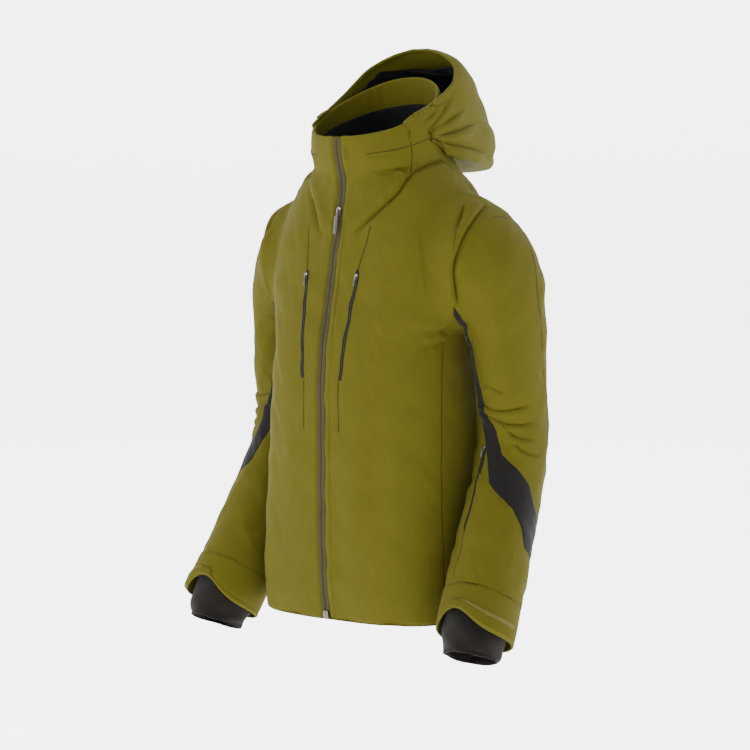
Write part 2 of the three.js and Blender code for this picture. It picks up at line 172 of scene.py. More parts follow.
class Tree:
    def __init__(self, name):
        self.material = bpy.data.materials.new(name)
        self.material.use_nodes = True
        self.nodes = self.material.node_tree.nodes
        self.links = self.material.node_tree.links
        self.shader = self.nodes["Principled BSDF"]

    def put(self, socket, value):
        if isinstance(value, Wire):
            self.links.new(value.socket, socket)
        else:
            socket.default_value = value

    def add(self, kind, settings=None, inputs=None, output=0):
        node = self.nodes.new(kind)
        for name, value in (settings or {}).items():
            setattr(node, name, value)
        for name, value in (inputs or {}).items():
            self.put(node.inputs[name], value)
        return Wire(self, node.outputs[output])

    def surface(self, values):
        for name, value in values.items():
            self.put(self.shader.inputs[name], value)

    def place(self, space):
        return self.add("ShaderNodeTexCoord", {}, {}, space)

    def noise(self, coordinates, scale, detail=2, roughness=0.5):
        return self.add("ShaderNodeTexNoise", {}, {"Vector": coordinates, "Scale": scale, "Detail": detail,
                                                   "Roughness": roughness}, "Fac")

    def wave(self, coordinates, scale, direction):
        return self.add("ShaderNodeTexWave", {"wave_type": "BANDS", "bands_direction": direction},
                        {"Vector": coordinates, "Scale": scale}, "Fac")

    def bump(self, height, distance, under=None):
        inputs = {"Height": height, "Distance": distance, "Strength": 1.0}
        if under is not None:
            inputs["Normal"] = under
        return self.add("ShaderNodeBump", {}, inputs, "Normal")

    def shade(self, first, second, amount):
        return self.add("ShaderNodeMix", {"data_type": "RGBA"}, {"Factor": amount, 6: first, 7: second}, 2)


def linear(red, green, blue):
    # display colour to the renderer's own, with full alpha
    return (*[((c / 255 + 0.055) / 1.055) ** 2.4 if c > 10 else c / 255 / 12.92 for c in (red, green, blue)], 1)


fabricLook = {
    "shell": {"light": (67, 64, 14), "deep": (59, 56, 10), "rough": 0.85, "sheen": 0.0, "weave": 0.00008,
              "crinkle": 0.0006},
    "stretch": {"light": (21, 20, 19), "deep": (14, 13, 12), "rough": 0.82, "sheen": 0.05, "weave": 0.00012,
                "crinkle": 0.0005},
    "lining": {"light": (15, 15, 15), "deep": (8, 8, 8), "rough": 0.5, "sheen": 0.05, "weave": 0.00004,
               "crinkle": 0.0012},
    "rib": {"light": (25, 22, 18), "deep": (12, 11, 9), "rough": 0.9, "sheen": 0.05, "weave": 0.0003,
            "crinkle": 0.0003},
    "tape": {"light": (56, 52, 29), "deep": (40, 37, 19), "rough": 0.75, "sheen": 0.03, "weave": 0.0002,
             "crinkle": 0.0001},
    "thread": {"light": (72, 68, 12), "deep": (52, 49, 8), "rough": 0.6, "sheen": 0.03, "weave": 0.00005,
               "crinkle": 0.0001},
    "hook": {"light": (98, 88, 42), "deep": (74, 66, 29), "rough": 0.95, "sheen": 0.05, "weave": 0.0005,
             "crinkle": 0.0002},
    # painted shade: the seam look is the dark colour of the shadow in the seam grooves, laid on as thin strips
    "seam": {"light": (38, 36, 7), "deep": (30, 28, 5), "rough": 0.85, "sheen": 0.0, "weave": 0.00005,
             "crinkle": 0.0001},
}


def wovenFabric(name):
    look = fabricLook[name]
    tree = Tree(name + "Fabric")
    objectSpace = tree.place("Object")
    clothSpace = tree.place("UV")
    patchy = tree.noise(objectSpace, 9, 4, 0.6)
    warp = tree.wave(clothSpace, 260, "X")
    weft = tree.wave(clothSpace, 260, "Y")
    weave = warp * weft
    fine = tree.noise(objectSpace, 900, 2)
    tone = patchy * 0.75 + weave * 0.15 + fine * 0.1
    colour = tree.shade(linear(*look["deep"]), linear(*look["light"]), tone)
    crinkle = tree.noise(objectSpace, 34, 3, 0.55)
    bumped = tree.bump(crinkle, look["crinkle"])
    bumped = tree.bump(weave + fine * 0.5, look["weave"], under=bumped)
    tree.surface({"Base Color": colour, "Roughness": look["rough"] + (fine - 0.5) * 0.08, "Normal": bumped,
                  "Sheen Weight": look["sheen"], "Sheen Roughness": 0.45, "Specular IOR Level": 0.06})
    return tree.material


def fleeceFabric():
    tree = Tree("fleeceFabric")
    place = tree.place("Object")
    tufts = tree.noise(place, 420, 3, 0.7)
    clumps = tree.noise(place, 90, 2)
    tone = tufts * 0.6 + clumps * 0.4
    colour = tree.shade(linear(4, 4, 4), linear(15, 14, 13), tone)
    tree.surface({"Base Color": colour, "Roughness": 1.0, "Sheen Weight": 0.02, "Sheen Roughness": 0.6,
                  "Specular IOR Level": 0.1, "Normal": tree.bump(tufts + clumps, 0.0012)})
    return tree.material


def coatedZip():
    tree = Tree("coatedZipFilm")
    place = tree.place("Object")
    grain = tree.noise(place, 600, 2)
    tree.surface({"Base Color": tree.shade(linear(5, 5, 5), linear(11, 11, 11), grain),
                  "Roughness": 0.6 + grain * 0.1, "Specular IOR Level": 0.12, "Normal": tree.bump(grain, 0.00008)})
    return tree.material


def satinMetal():
    tree = Tree("satinMetal")
    place = tree.place("Object")
    brushed = tree.noise(place, 1500, 2)
    wear = tree.noise(place, 200, 3)
    tree.surface({"Base Color": tree.shade(linear(66, 65, 62), linear(98, 97, 94), wear), "Metallic": 1.0,
                  "Roughness": 0.24 + brushed * 0.14, "Normal": tree.bump(brushed, 0.00003)})
    return tree.material


def mouldedPull():
    tree = Tree("mouldedPull")
    place = tree.place("Object")
    grain = tree.noise(place, 800, 2)
    tree.surface({"Base Color": tree.shade(linear(36, 34, 24), linear(52, 49, 34), grain),
                  "Roughness": 0.55 + grain * 0.1, "Normal": tree.bump(grain, 0.00005)})
    return tree.material


finish = {name: wovenFabric(name) for name in fabricLook}
finish["fleece"] = fleeceFabric()
finish["coated"] = coatedZip()
finish["metal"] = satinMetal()
finish["pull"] = mouldedPull()
print("materials made")

addCamera()
addLights()
addBackdrop()


def smoothCurve(places, values):
    # smooth line through given points
    places = np.array(places, float)
    values = np.array(values, float)
    steps = np.diff(places)
    rises = np.diff(values) / steps
    slopes = np.empty_like(values)
    slopes[0], slopes[-1] = rises[0], rises[-1]
    slopes[1:-1] = (rises[:-1] * steps[1:] + rises[1:] * steps[:-1]) / (steps[1:] + steps[:-1])

    def value(at):
        at = np.clip(np.asarray(at, float), places[0], places[-1])
        low = np.clip(np.searchsorted(places, at, side="right") - 1, 0, len(places) - 2)
        step = places[low + 1] - places[low]
        t = (at - places[low]) / step
        ease = t * t * (3 - 2 * t)
        leave = (t * t * t - 2 * t * t + t) * step * slopes[low]
        arrive = (t * t * t - t * t) * step * slopes[low + 1]
        return values[low] * (1 - ease) + values[low + 1] * ease + leave + arrive
    return value


def curvesThrough(rows):
    # one smooth line for each column of a table
    return [smoothCurve(range(len(rows)), values) for values in zip(*rows)]


def softStep(value, low, high):
    t = np.clip((value - low) / (high - low), 0, 1)
    return t * t * (3 - 2 * t)


def gridFaces(rows, columns, wraps=False):
    across = columns if wraps else columns - 1
    row, column = np.meshgrid(np.arange(rows - 1), np.arange(across), indexing="ij")
    after = (column + 1) % columns
    faces = np.stack([row * columns + column, row * columns + after, (row + 1) * columns + after,
                      (row + 1) * columns + column], axis=-1)
    return faces.reshape(-1, 4)


def gridNormals(grid, wraps=False):
    if wraps:
        along = np.roll(grid, -1, 1) - np.roll(grid, 1, 1)
    else:
        along = np.gradient(grid, axis=1)
    up = np.gradient(grid, axis=0)
    normals = np.cross(along, up)
    return normals / (np.linalg.norm(normals, axis=-1, keepdims=True) + 1e-9)


def addPiece(name, points, faces, material, cloth=None):
    # points are garment millimetres; cloth holds one flat position in metres for each point
    mesh = bpy.data.meshes.new(name)
    mesh.from_pydata(toFrame(points).tolist(), [], [tuple(int(k) for k in face) for face in faces])
    if cloth is not None:
        layer = mesh.uv_layers.new(name="cloth")
        corners = np.empty(len(mesh.loops), dtype=np.int32)
        mesh.loops.foreach_get("vertex_index", corners)
        layer.data.foreach_set("uv", np.asarray(cloth, float)[corners].ravel())
    mesh.polygons.foreach_set("use_smooth", [True] * len(mesh.polygons))
    mesh.materials.append(material)
    mesh.validate()
    piece = bpy.data.objects.new(name, mesh)
    bpy.context.scene.collection.objects.link(piece)
    return piece


def settle(piece):
    # turns live modifiers into plain mesh
    graph = bpy.context.evaluated_depsgraph_get()
    mesh = bpy.data.meshes.new_from_object(piece.evaluated_get(graph))
    piece.modifiers.clear()
    piece.data = mesh
    return piece


def thicken(piece, thickness, offset=-1):
    wall = piece.modifiers.new("wall", "SOLIDIFY")
    wall.thickness = thickness / 1000
    wall.offset = offset
    wall.use_even_offset = False
    return settle(piece)


def weld(piece, distance):
    work = bmesh.new()
    work.from_mesh(piece.data)
    bmesh.ops.remove_doubles(work, verts=work.verts, dist=distance / 1000)
    work.to_mesh(piece.data)
    work.free()


def pathDistance(points, path):
    # distance to a polyline, the share of its length there, and the nearest point
    path = np.asarray(path, float)
    lengths = np.linalg.norm(np.diff(path, axis=0), axis=1)
    reached = np.concatenate([[0], np.cumsum(lengths)])
    best = np.full(len(points), 1e9)
    share = np.zeros(len(points))
    nearest = np.zeros((len(points), 3))
    direction = np.zeros((len(points), 3))
    for k, length in enumerate(lengths):
        step = (path[k + 1] - path[k]) / length
        t = np.clip((points - path[k]) @ step, 0, length)
        close = path[k] + t[:, None] * step
        away = np.linalg.norm(points - close, axis=1)
        better = away < best
        best[better] = away[better]
        share[better] = (reached[k] + t[better]) / reached[-1]
        nearest[better] = close[better]
        direction[better] = step
    return best, share, nearest, direction


crispWidth = 8


def fold(points, normals, path, width, depth, ridge=0.0, fade=(0.15, 0.15), ridgeSide=1):
    # presses a valley along a path, and lifts a ridge beside it
    path = rounded(path)
    away, share, nearest, direction = pathDistance(points, path)
    side = np.sign(np.einsum("ij,ij->i", np.cross(direction, normals), points - nearest)) * ridgeSide
    taper = np.ones(len(points))
    if fade[0] > 0:
        taper *= softStep(share, 0, fade[0])
    if fade[1] > 0:
        taper *= 1 - softStep(share, 1 - fade[1], 1)
    ends = (share <= 0) | (share >= 1)
    taper = np.where(ends & (away > width), 0, taper)
    signed = away * side
    if width < crispWidth:
        # a crisp crease, its ridge leaning over the valley
        move = -depth * (0.5 * np.exp(-(away / width) ** 2) + 0.5 * np.exp(-away / (0.4 * width)))
        over = np.clip(signed, 0, None)
        lean = 0.9 * ridge * (1 - np.exp(-over / (0.4 * width))) * np.exp(-(over / (1.7 * width)) ** 2)
    else:
        move = -depth * np.exp(-(away / width) ** 2)
        lean = 0 * away
    move += ridge * np.exp(-((signed - 1.7 * width) / (1.4 * width)) ** 2)
    across = np.cross(direction, normals) * ridgeSide
    return points + (normals * move[:, None] - across * lean[:, None]) * taper[:, None]


def rounded(path, times=2):
    # cuts a polyline's corners so that it bends smoothly
    path = np.asarray(path, float)
    for _ in range(times):
        cut = [path[0]]
        for first, second in zip(path[:-1], path[1:]):
            cut += [first * 0.75 + second * 0.25, first * 0.25 + second * 0.75]
        cut.append(path[-1])
        path = np.array(cut)
    return path


def mirrorX(points):
    return np.asarray(points, float) * np.array([-1, 1, 1])


# Torso

torso = {
    "height": [0, 35, 100, 200, 300, 400, 452, 480, 510, 570, 630, 665, 690, 712, 728, 744],
    "side": [190, 190, 186, 176, 169, 161, 160, 172, 181, 188, 184, 174, 160, 142, 128, 112],
    "front": [-172, -178, -183, -186, -186, -185, -179, -173, -167, -155, -143, -136, -134, -133, -134, -138],
    "back": [150, 150, 148, 145, 142, 138, 134, 132, 129, 122, 112, 104, 99, 93, 89, 84],
    "square": [3, 3, 3, 3, 3, 3, 3, 2.9, 2.8, 2.6, 2.3, 2.05, 1.9, 1.75, 1.7, 1.7],
    "armholeX": 160, "armholeLow": 452, "armholeHigh": 690, "armholeMiddle": (-20, 571),
    "columns": 33,
}
torsoSide = smoothCurve(torso["height"], torso["side"])
torsoFront = smoothCurve(torso["height"], torso["front"])
torsoBack = smoothCurve(torso["height"], torso["back"])
torsoSquare = smoothCurve(torso["height"], torso["square"])


def torsoHalf(z, isFront, samples):
    # from the centre line round to the side, cut off where the armhole opens
    side = float(torsoSide(z))
    middle = (float(torsoFront(z)) + float(torsoBack(z))) / 2
    reach = (float(torsoBack(z)) - float(torsoFront(z))) / 2
    angle = np.linspace(0, math.pi / 2, 900)
    power = 2 / float(torsoSquare(z))
    x = side * np.sin(angle) ** power
    y = reach * np.cos(angle) ** power
    if side > torso["armholeX"]:
        if torso["armholeLow"] < z < torso["armholeHigh"]:
            keep = int(np.searchsorted(x, torso["armholeX"]))
            part = (torso["armholeX"] - x[keep - 1]) / (x[keep] - x[keep - 1])
            x = np.append(x[:keep], torso["armholeX"])
            y = np.append(y[:keep], y[keep - 1] + part * (y[keep] - y[keep - 1]))
    run = np.concatenate([[0], np.cumsum(np.hypot(np.diff(x), np.diff(y)))])
    at = np.linspace(0, 1, samples) ** 1.2 * run[-1]
    x = np.interp(at, run, x)
    y = np.interp(at, run, y)
    return x, (middle - y if isFront else middle + y), at


bodyFolds = [
    # path, width, depth, ridge, fade, ridge side
    # the neck's own crease, from the deep fold up and back under the hood
    ([(103, -92, 708), (111, -70, 721), (117, -44, 730), (118, -12, 735)], 5.5, 6, 2.5, (0.0, 0.3), 1),
    ([(-103, -92, 708), (-111, -70, 721), (-117, -44, 730), (-118, -12, 735)], 5.5, 6, 2.5, (0.0, 0.3), -1),
    # deep fold from the collar to the zip, both sides
    ([(103, -92, 708), (98, -110, 684), (82, -123, 664), (54, -138, 636), (26, -148, 606)], 7, 8, 4, (0.0, 0.3), 1),
    ([(-88, -96, 708), (-70, -122, 676), (-52, -134, 645), (-25, -148, 604)], 7, 7, 3, (0.0, 0.3), -1),
    # soft pulls below the fold and across the chest
    ([(70, -134, 640), (46, -150, 600), (30, -158, 570)], 12, 2.5, 1.5, (0.3, 0.4), 1),
    ([(120, -95, 640), (142, -105, 560), (148, -110, 500)], 16, 3, 2, (0.3, 0.3), 1),
    ([(-120, -95, 640), (-142, -105, 560), (-148, -110, 500)], 16, 3, 2, (0.3, 0.3), -1),
    # dart at the armpit
    ([(160, -70, 462), (140, -118, 470), (118, -140, 474)], 7, 4, 2, (0.0, 0.5), 1),
    ([(158, -68, 446), (146, -105, 440), (128, -132, 436)], 6, 3, 1.5, (0.0, 0.5), 1),
    ([(-160, -70, 462), (-140, -118, 470), (-118, -140, 474)], 7, 4, 2, (0.0, 0.5), -1),
    # long soft drapes down the front
    ([(92, -168, 470), (100, -172, 330), (96, -172, 180), (104, -168, 60)], 22, 2.4, 1.6, (0.4, 0.4), 1),
    ([(-92, -168, 470), (-100, -172, 330), (-96, -172, 180), (-104, -168, 60)], 22, 2.4, 1.6, (0.4, 0.4), -1),
    ([(30, -186, 250), (36, -184, 120), (34, -180, 30)], 14, 1.6, 1.2, (0.4, 0.2), 1),
    # soft rolls across the back
    ([(-110, 108, 560), (0, 128, 530), (110, 108, 560)], 26, 3, 2, (0.3, 0.3), 1),
    ([(-90, 118, 240), (0, 146, 220), (90, 118, 236)], 26, 2.4, 2, (0.3, 0.3), 1),
    ([(60, 140, 420), (70, 146, 280), (56, 148, 120)], 20, 2, 1.5, (0.4, 0.4), 1),
]
bodySeams = {
    "placketLeft": [(17, -140, 640), (19, -166, 520), (20, -186, 380), (20, -186, 240), (20, -183, 110), (20, -174, 8)],
    "princessLeft": [(64, -138, 628), (56, -151, 580), (52, -158, 556)],
    "princessLowLeft": [(37, -187, 384), (35, -186, 345), (36, -186, 305)],
    "sideLeft": [(157, -72, 446), (158, -80, 380), (162, -88, 300), (167, -94, 200), (174, -98, 100), (178, -98, 4)],
    "forwardShoulderLeft": [(112, -26, 736), (130, -8, 720), (150, 6, 696), (160, 10, 686)],
    "backYokeLeft": [(0, 112, 640), (70, 104, 642), (130, 84, 646), (160, 50, 650)],
}


def seamGroove(points, normals, path, width=2.2, depth=1.1):
    return fold(points, normals, path, width, depth, 0, (0, 0))


def onBothSides(seams):
    # each left seam, then its mirror on the right
    pairs = {}
    for name, path in seams.items():
        pairs[name] = path
        pairs[name.replace("Left", "Right")] = mirrorX(path)
    return pairs


def bodyHeights():
    low, high = torso["armholeLow"], torso["armholeHigh"]
    below = np.linspace(0, low, 46)
    within = np.concatenate([[low, low + 1.5, low + 5], np.linspace(low + 12, high - 12, 25),
                             [high - 5, high - 1.5, high]])
    return np.unique(np.concatenate([below, within, [698]]))


# Sleeves

arm = {
    # inner x and z, outer x and z, middle y, half depth, forward lean
    "rings": [
        (160, 452, 160, 690, -20, 98, 0), (163, 450, 203, 664, -10, 97, 0), (167, 447, 245, 618, 0, 89, 0),
        (171, 443, 271, 562, 3, 80, 0), (174, 436, 280, 505, 4, 73, 0), (175, 415, 283, 440, 6, 68, 1),
        (176, 368, 284, 376, 8, 65, 4), (178, 288, 287, 290, 12, 62, 12), (182, 225, 291, 227, -8, 63, 24),
        (185, 163, 298, 171, -38, 65, 28), (189, 88, 310, 98, -77, 65.5, 29), (192, 44, 317, 56, -102, 66, 29),
    ],
}
ringLines = curvesThrough(arm["rings"])


def armholeOutline():
    heights = np.linspace(torso["armholeLow"], torso["armholeHigh"], 240)
    front = [(torsoHalf(z, True, 8)[1][-1], z) for z in heights]
    back = [(torsoHalf(z, False, 8)[1][-1], z) for z in heights[::-1]]
    outline = np.array(front + back)
    middleY, middleZ = torso["armholeMiddle"]
    angle = np.arctan2(outline[:, 0] - middleY, outline[:, 1] - middleZ)
    radius = np.hypot(outline[:, 0] - middleY, outline[:, 1] - middleZ)
    order = np.argsort(angle)
    return angle[order], radius[order]


armholeAngle, armholeRadius = armholeOutline()


def ovalPoint(lines, place, turn):
    # on an oval whose two ends, depth and backward lean follow the lines
    innerX, innerZ, outerX, outerZ, y, depth, lean = [line(place) for line in lines]
    middle = np.stack([(innerX + outerX) / 2, y, (innerZ + outerZ) / 2], axis=-1)
    outward = np.stack([outerX - innerX, 0 * innerX, outerZ - innerZ], axis=-1)
    half = np.linalg.norm(outward, axis=-1) / 2
    outward = outward / (2 * half[..., None])
    lean = np.radians(lean)
    backward = np.stack([0 * lean, np.cos(lean), -np.sin(lean)], axis=-1)
    return middle + outward * (half * np.cos(turn))[..., None] + backward * (depth * np.sin(turn))[..., None]


def armPoint(place, angle):
    # place counts the rings; angle 0 faces out, -90 degrees forward
    place = np.asarray(place, float)
    angle = np.radians(np.asarray(angle, float))
    oval = ovalPoint(ringLines, place, angle)
    turned = (angle + math.pi) % (2 * math.pi) - math.pi
    radius = np.interp(turned, armholeAngle, armholeRadius, period=2 * math.pi)
    middleY, middleZ = torso["armholeMiddle"]
    hole = np.stack([torso["armholeX"] + 0 * radius, middleY + radius * np.sin(angle),
                     middleZ + radius * np.cos(angle)], axis=-1)
    onHole = (1 - softStep(place, 0, 1.1))[..., None]
    return hole * onHole + oval * (1 - onHole)


armFolds = [
    # place and angle along each fold, then width, depth, ridge, fade, ridge side
    # creases from the armhole
    ([(1.0, -6), (1.15, -30), (1.22, -52), (1.28, -70), (1.35, -84), (1.65, -98), (2.0, -112)],
     4.5, 8, 4.5, (0.1, 0.1), 1),
    ([(0.72, -20), (0.9, -42), (1.05, -60), (1.2, -74)], 4.5, 5.5, 3, (0.15, 0.2), 1),
    ([(0.6, 160), (1.1, 120), (1.2, 90), (1.1, 60)], 9, 5, 3, (0.2, 0.3), -1),
    ([(2.2, -140), (2.8, -122), (3.6, -110)], 8, 4, 3, (0.2, 0.4), 1),
    # elbow creases fan out from the inner side of the bend
    ([(6.35, -112), (6.5, -84), (6.5, -60), (6.42, -34), (6.3, -12)], 3.6, 5, 3.4, (0.0, 0.35), 1),
    ([(6.5, -110), (6.7, -80), (6.78, -52), (6.7, -24), (6.6, 0)], 3.6, 4.5, 3.2, (0.0, 0.4), 1),
    ([(6.75, -70), (7.0, -52), (7.05, -30), (6.95, -8)], 4, 3.6, 2.8, (0.1, 0.4), 1),
    ([(7.15, -52), (7.35, -36), (7.4, -18), (7.3, 4)], 4, 3.6, 2.6, (0.1, 0.4), 1),
    ([(5.9, -100), (6.1, -72), (6.15, -46)], 5, 3, 2.2, (0.1, 0.5), 1),
    ([(7.1, 60), (7.3, 100), (7.2, 140)], 8, 3, 3, (0.4, 0.4), 1),
    ([(6.4, 40), (6.6, 80), (6.5, 130)], 8, 3, 3, (0.4, 0.4), 1),
    ([(8.4, -160), (8.3, -120), (8.0, -100)], 8, 2.5, 2, (0.3, 0.4), 1),
    ([(9.5, -160), (9.8, -130), (9.7, -112)], 8, 2.5, 2, (0.4, 0.4), 1),
    # long drapes
    ([(3.4, -40), (4.6, -48), (5.8, -40)], 16, 2.2, 2, (0.4, 0.4), 1),
]
armSeams = {
    "cap": [(1.45, -16), (1.5, 0), (1.55, 20)],
    "back": [(0.9, 26), (1.55, 20), (2.5, 14), (3.65, 6), (4.95, 12), (6.0, 24), (7.2, 30)],
}
outerElbowSeam = [(9.45, 52), (9.9, 46), (10.4, 44), (10.9, 44)]


def armPath(path):
    place, angle = np.array(path, float).T
    return armPoint(place, angle)


def sideWord(side):
    return "Left" if side > 0 else "Right"


def bothSides(points, side):
    return points if side > 0 else mirrorX(points)


def addSidePiece(name, grid, faces, material, cloth, side):
    # shaped for the left arm or chest, and turned over for the right
    return addPiece(name + sideWord(side), bothSides(grid.reshape(-1, 3), side),
                    faces[:, ::-1] if side < 0 else faces, material, cloth)


class Skin:
    # finds the nearest outer surface of a finished piece, in garment millimetres
    def __init__(self, piece):
        self.tree = BVHTree.FromPolygons([v.co for v in piece.data.vertices],
                                         [tuple(face.vertices) for face in piece.data.polygons])

    def onto(self, points):
        shape = np.shape(points)
        places = toFrame(np.reshape(points, (-1, 3)))
        found = [self.tree.find_nearest(Vector(place)) for place in places]
        offset = toFrame([0, 0, 0])
        hits = (np.array([hit[0] for hit in found]) - offset) * 1000
        normals = np.array([hit[1] for hit in found])
        return hits.reshape(shape), normals.reshape(shape)


def resample(path, step):
    path = np.asarray(path, float)
    run = np.concatenate([[0], np.cumsum(np.linalg.norm(np.diff(path, axis=0), axis=1))])
    at = np.linspace(0, run[-1], max(2, int(run[-1] / step) + 1))
    return np.stack([np.interp(at, run, path[:, axis]) for axis in range(3)], axis=-1)


def smoothRows(values, times=2):
    for _ in range(times):
        inner = (values[:-2] + values[1:-1] * 2 + values[2:]) / 4
        values = np.concatenate([values[:1], inner, values[-1:]])
    return values


def ribbon(name, skin, path, profile, material, step=2.5, taper=0.0, side=1):
    # a narrow strip along a path; profile lists (distance across, height above the cloth)
    path = bothSides(np.asarray(path, float), side)
    hits, normals = skin.onto(resample(rounded(path), step))
    hits = smoothRows(hits)
    normals = smoothRows(normals, 4)
    normals /= np.linalg.norm(normals, axis=1, keepdims=True)
    along = np.gradient(hits, axis=0)
    along /= np.linalg.norm(along, axis=1, keepdims=True)
    across = np.cross(along, normals)
    reach = np.linspace(0, 1, len(hits))
    width = np.ones(len(hits))
    if taper:
        width = np.clip(np.minimum(reach, 1 - reach) / taper, 0, 1) ** 0.5 * 0.98 + 0.02
    grid = np.stack([hits + across * (shift * width)[:, None] + normals * height for shift, height in profile], axis=1)
    flat = np.stack(np.meshgrid(np.linspace(0, 0.01, len(profile)), np.arange(len(hits)) * step / 1000), axis=-1)
    return addPiece(name, grid.reshape(-1, 3), gridFaces(len(hits), len(profile)), material, flat.reshape(-1, 2))


def rimSteps(rows, columns):
    # each point's row and column, and how many steps in from the rim it lies
    row, column = np.meshgrid(np.arange(rows), np.arange(columns), indexing="ij")
    return row, column, np.minimum(np.minimum(row, rows - 1 - row), np.minimum(column, columns - 1 - column))


def overlay(name, skin, grid, lift, material, side):
    # a patch laid on a piece: its rim tucks into the cloth and its middle stands by the lift
    grid = bothSides(grid, side)
    hits, normals = skin.onto(grid)
    rows, columns = grid.shape[:2]
    for _ in range(3):
        normals[1:-1] = (normals[:-2] + normals[1:-1] * 2 + normals[2:]) / 4
        normals[:, 1:-1] = (normals[:, :-2] + normals[:, 1:-1] * 2 + normals[:, 2:]) / 4
    normals /= np.linalg.norm(normals, axis=-1, keepdims=True)
    row, column, inward = rimSteps(rows, columns)
    height = np.interp(inward, [0, 1, 2, 4], [-0.8, lift * 0.75, lift, lift])
    points = hits + normals * height[..., None]
    faces = gridFaces(rows, columns)
    if side < 0:
        faces = faces[:, ::-1]
    across = np.linalg.norm(np.diff(hits, axis=1), axis=-1).mean()
    down = np.linalg.norm(np.diff(hits, axis=0), axis=-1).mean()
    flat = np.stack([column * across / 1000, row * down / 1000], axis=-1).reshape(-1, 2)
    return addPiece(name, points.reshape(-1, 3), faces, material, flat)


# Black stretch panel: front edge and back edge as place and angle, from the armpit down round the elbow
stretchEdges = [
    ((1.8, -112), (1.8, -122)), ((2.7, -118), (2.6, -134)), ((4.2, -124), (4.2, -140)), ((5.4, -118), (5.4, -134)),
    ((6.1, -105), (6.15, -120)), ((6.55, -97), (6.65, -113)), ((6.75, -84), (7.3, -100)),
    ((7.1, -76), (7.9, -90)), ((7.5, -67), (8.5, -79)), ((7.68, -55), (8.72, -58)), ((7.9, -34), (8.95, -34)),
    ((8.12, -14), (9.25, -16)), ((8.55, 2), (9.55, 0)), ((8.95, 30), (9.6, 28)), ((9.25, 54), (9.45, 52)),
]


def edgeToEdge(edges, rows, columns):
    first = np.array([pair[0] for pair in edges], float)
    second = np.array([pair[1] for pair in edges], float)
    at = np.linspace(0, len(edges) - 1, rows)
    steps = np.arange(len(edges))
    first = np.stack([np.interp(at, steps, first[:, k]) for k in (0, 1)], axis=-1)
    second = np.stack([np.interp(at, steps, second[:, k]) for k in (0, 1)], axis=-1)
    share = np.linspace(0, 1, columns)[None, :, None]
    mixed = first[:, None] * (1 - share) + second[:, None] * share
    return mixed[..., 0], mixed[..., 1]


def outsideArm(place, angle, away=4.0):
    # just outside the sleeve, so that the nearest surface is its outer face
    points = armPoint(place, angle)
    lines = [line(place) for line in ringLines]
    middle = np.stack([(lines[0] + lines[2]) / 2, lines[4], (lines[1] + lines[3]) / 2], axis=-1)
    out = points - middle
    return points + out / np.linalg.norm(out, axis=-1, keepdims=True) * away


# Collar and hood

collar = {"footSide": 114, "footMiddle": -26, "footDepth": 108, "footFrontZ": 706, "footRise": 34,
          "edgeSide": 104, "edgeMiddle": -46, "edgeDepth": 101, "edgeFrontZ": 770, "edgeRise": 102,
          "wall": 6, "belly": 3.5}


def roundNeck(angle):
    # straight out from the neck at each angle
    return np.stack([np.cos(angle), np.sin(angle), 0 * angle], axis=-1)


def collarRing(angle, edge):
    # edge counts up from the seam at 0 to the rim at 1
    back = (np.sin(angle) + 1) / 2
    foot = np.stack([collar["footSide"] * np.cos(angle), collar["footMiddle"] + collar["footDepth"] * np.sin(angle),
                     collar["footFrontZ"] + collar["footRise"] * back ** 0.5], axis=-1)
    rim = np.stack([collar["edgeSide"] * np.cos(angle), collar["edgeMiddle"] + collar["edgeDepth"] * np.sin(angle),
                    collar["edgeFrontZ"] + collar["edgeRise"] * back ** 1.28], axis=-1)
    edge = np.asarray(edge, float)[..., None]
    belly = collar["belly"] * np.sin(math.pi * np.clip(edge, 0, 1))
    return foot * (1 - edge) + rim * edge + roundNeck(angle) * belly


def collarLevel(angles, share):
    return collarRing(angles, np.full_like(angles, share))


collarFolds = [
    ([(86, -108, 740), (60, -132, 738), (34, -142, 736)], 4, 1.6, 1.5, (0.1, 0.4), 1),
    ([(100, -78, 722), (70, -122, 716), (40, -138, 706)], 7, 3, 2.5, (0.1, 0.4), 1),
    ([(-86, -104, 744), (-74, -122, 730), (-60, -130, 716)], 4, 2.5, 2, (0.1, 0.3), -1),
]
collarSeams = {
    "collarLeft": [(106, -48, 766), (98, -88, 752), (78, -124, 744), (52, -142, 738)],
    "sideLeft": [(94, -84, 792), (100, -84, 765), (103, -80, 735), (101, -84, 712)],
}


shellBuild = {"neckRows": 5, "collarRows": 15, "rim": 0.965, "rimRound": 0.035, "rimTurns": [35, 90, 145],
              "insideTop": 0.96, "insideFoot": 0.62, "insideRows": 8, "hemTurn": ((0.2, 2.4), (8, 2.8), (24, 3.0)),
              "armRowsPerRing": 6, "smoothing": 16, "smoothReach": 20, "smoothStrength": 0.6, "lumps": 1.3}


def torsoRows(heights):
    # rows round the front and round the back, and each point's distance from the centre line
    fronts = []
    backs = []
    flats = []
    for z in heights:
        for isFront, rows in ((True, fronts), (False, backs)):
            x, y, run = torsoHalf(z, isFront, torso["columns"])
            half = np.stack([x, y, np.full_like(x, z)], axis=-1)
            if isFront:
                rows.append(np.vstack([mirrorX(half)[::-1][:-1], half]))
                flats.append(np.concatenate([-run[::-1][:-1], run]))
            else:
                rows.append(np.vstack([half[::-1], mirrorX(half)[1:]]))
    return fronts, backs, flats


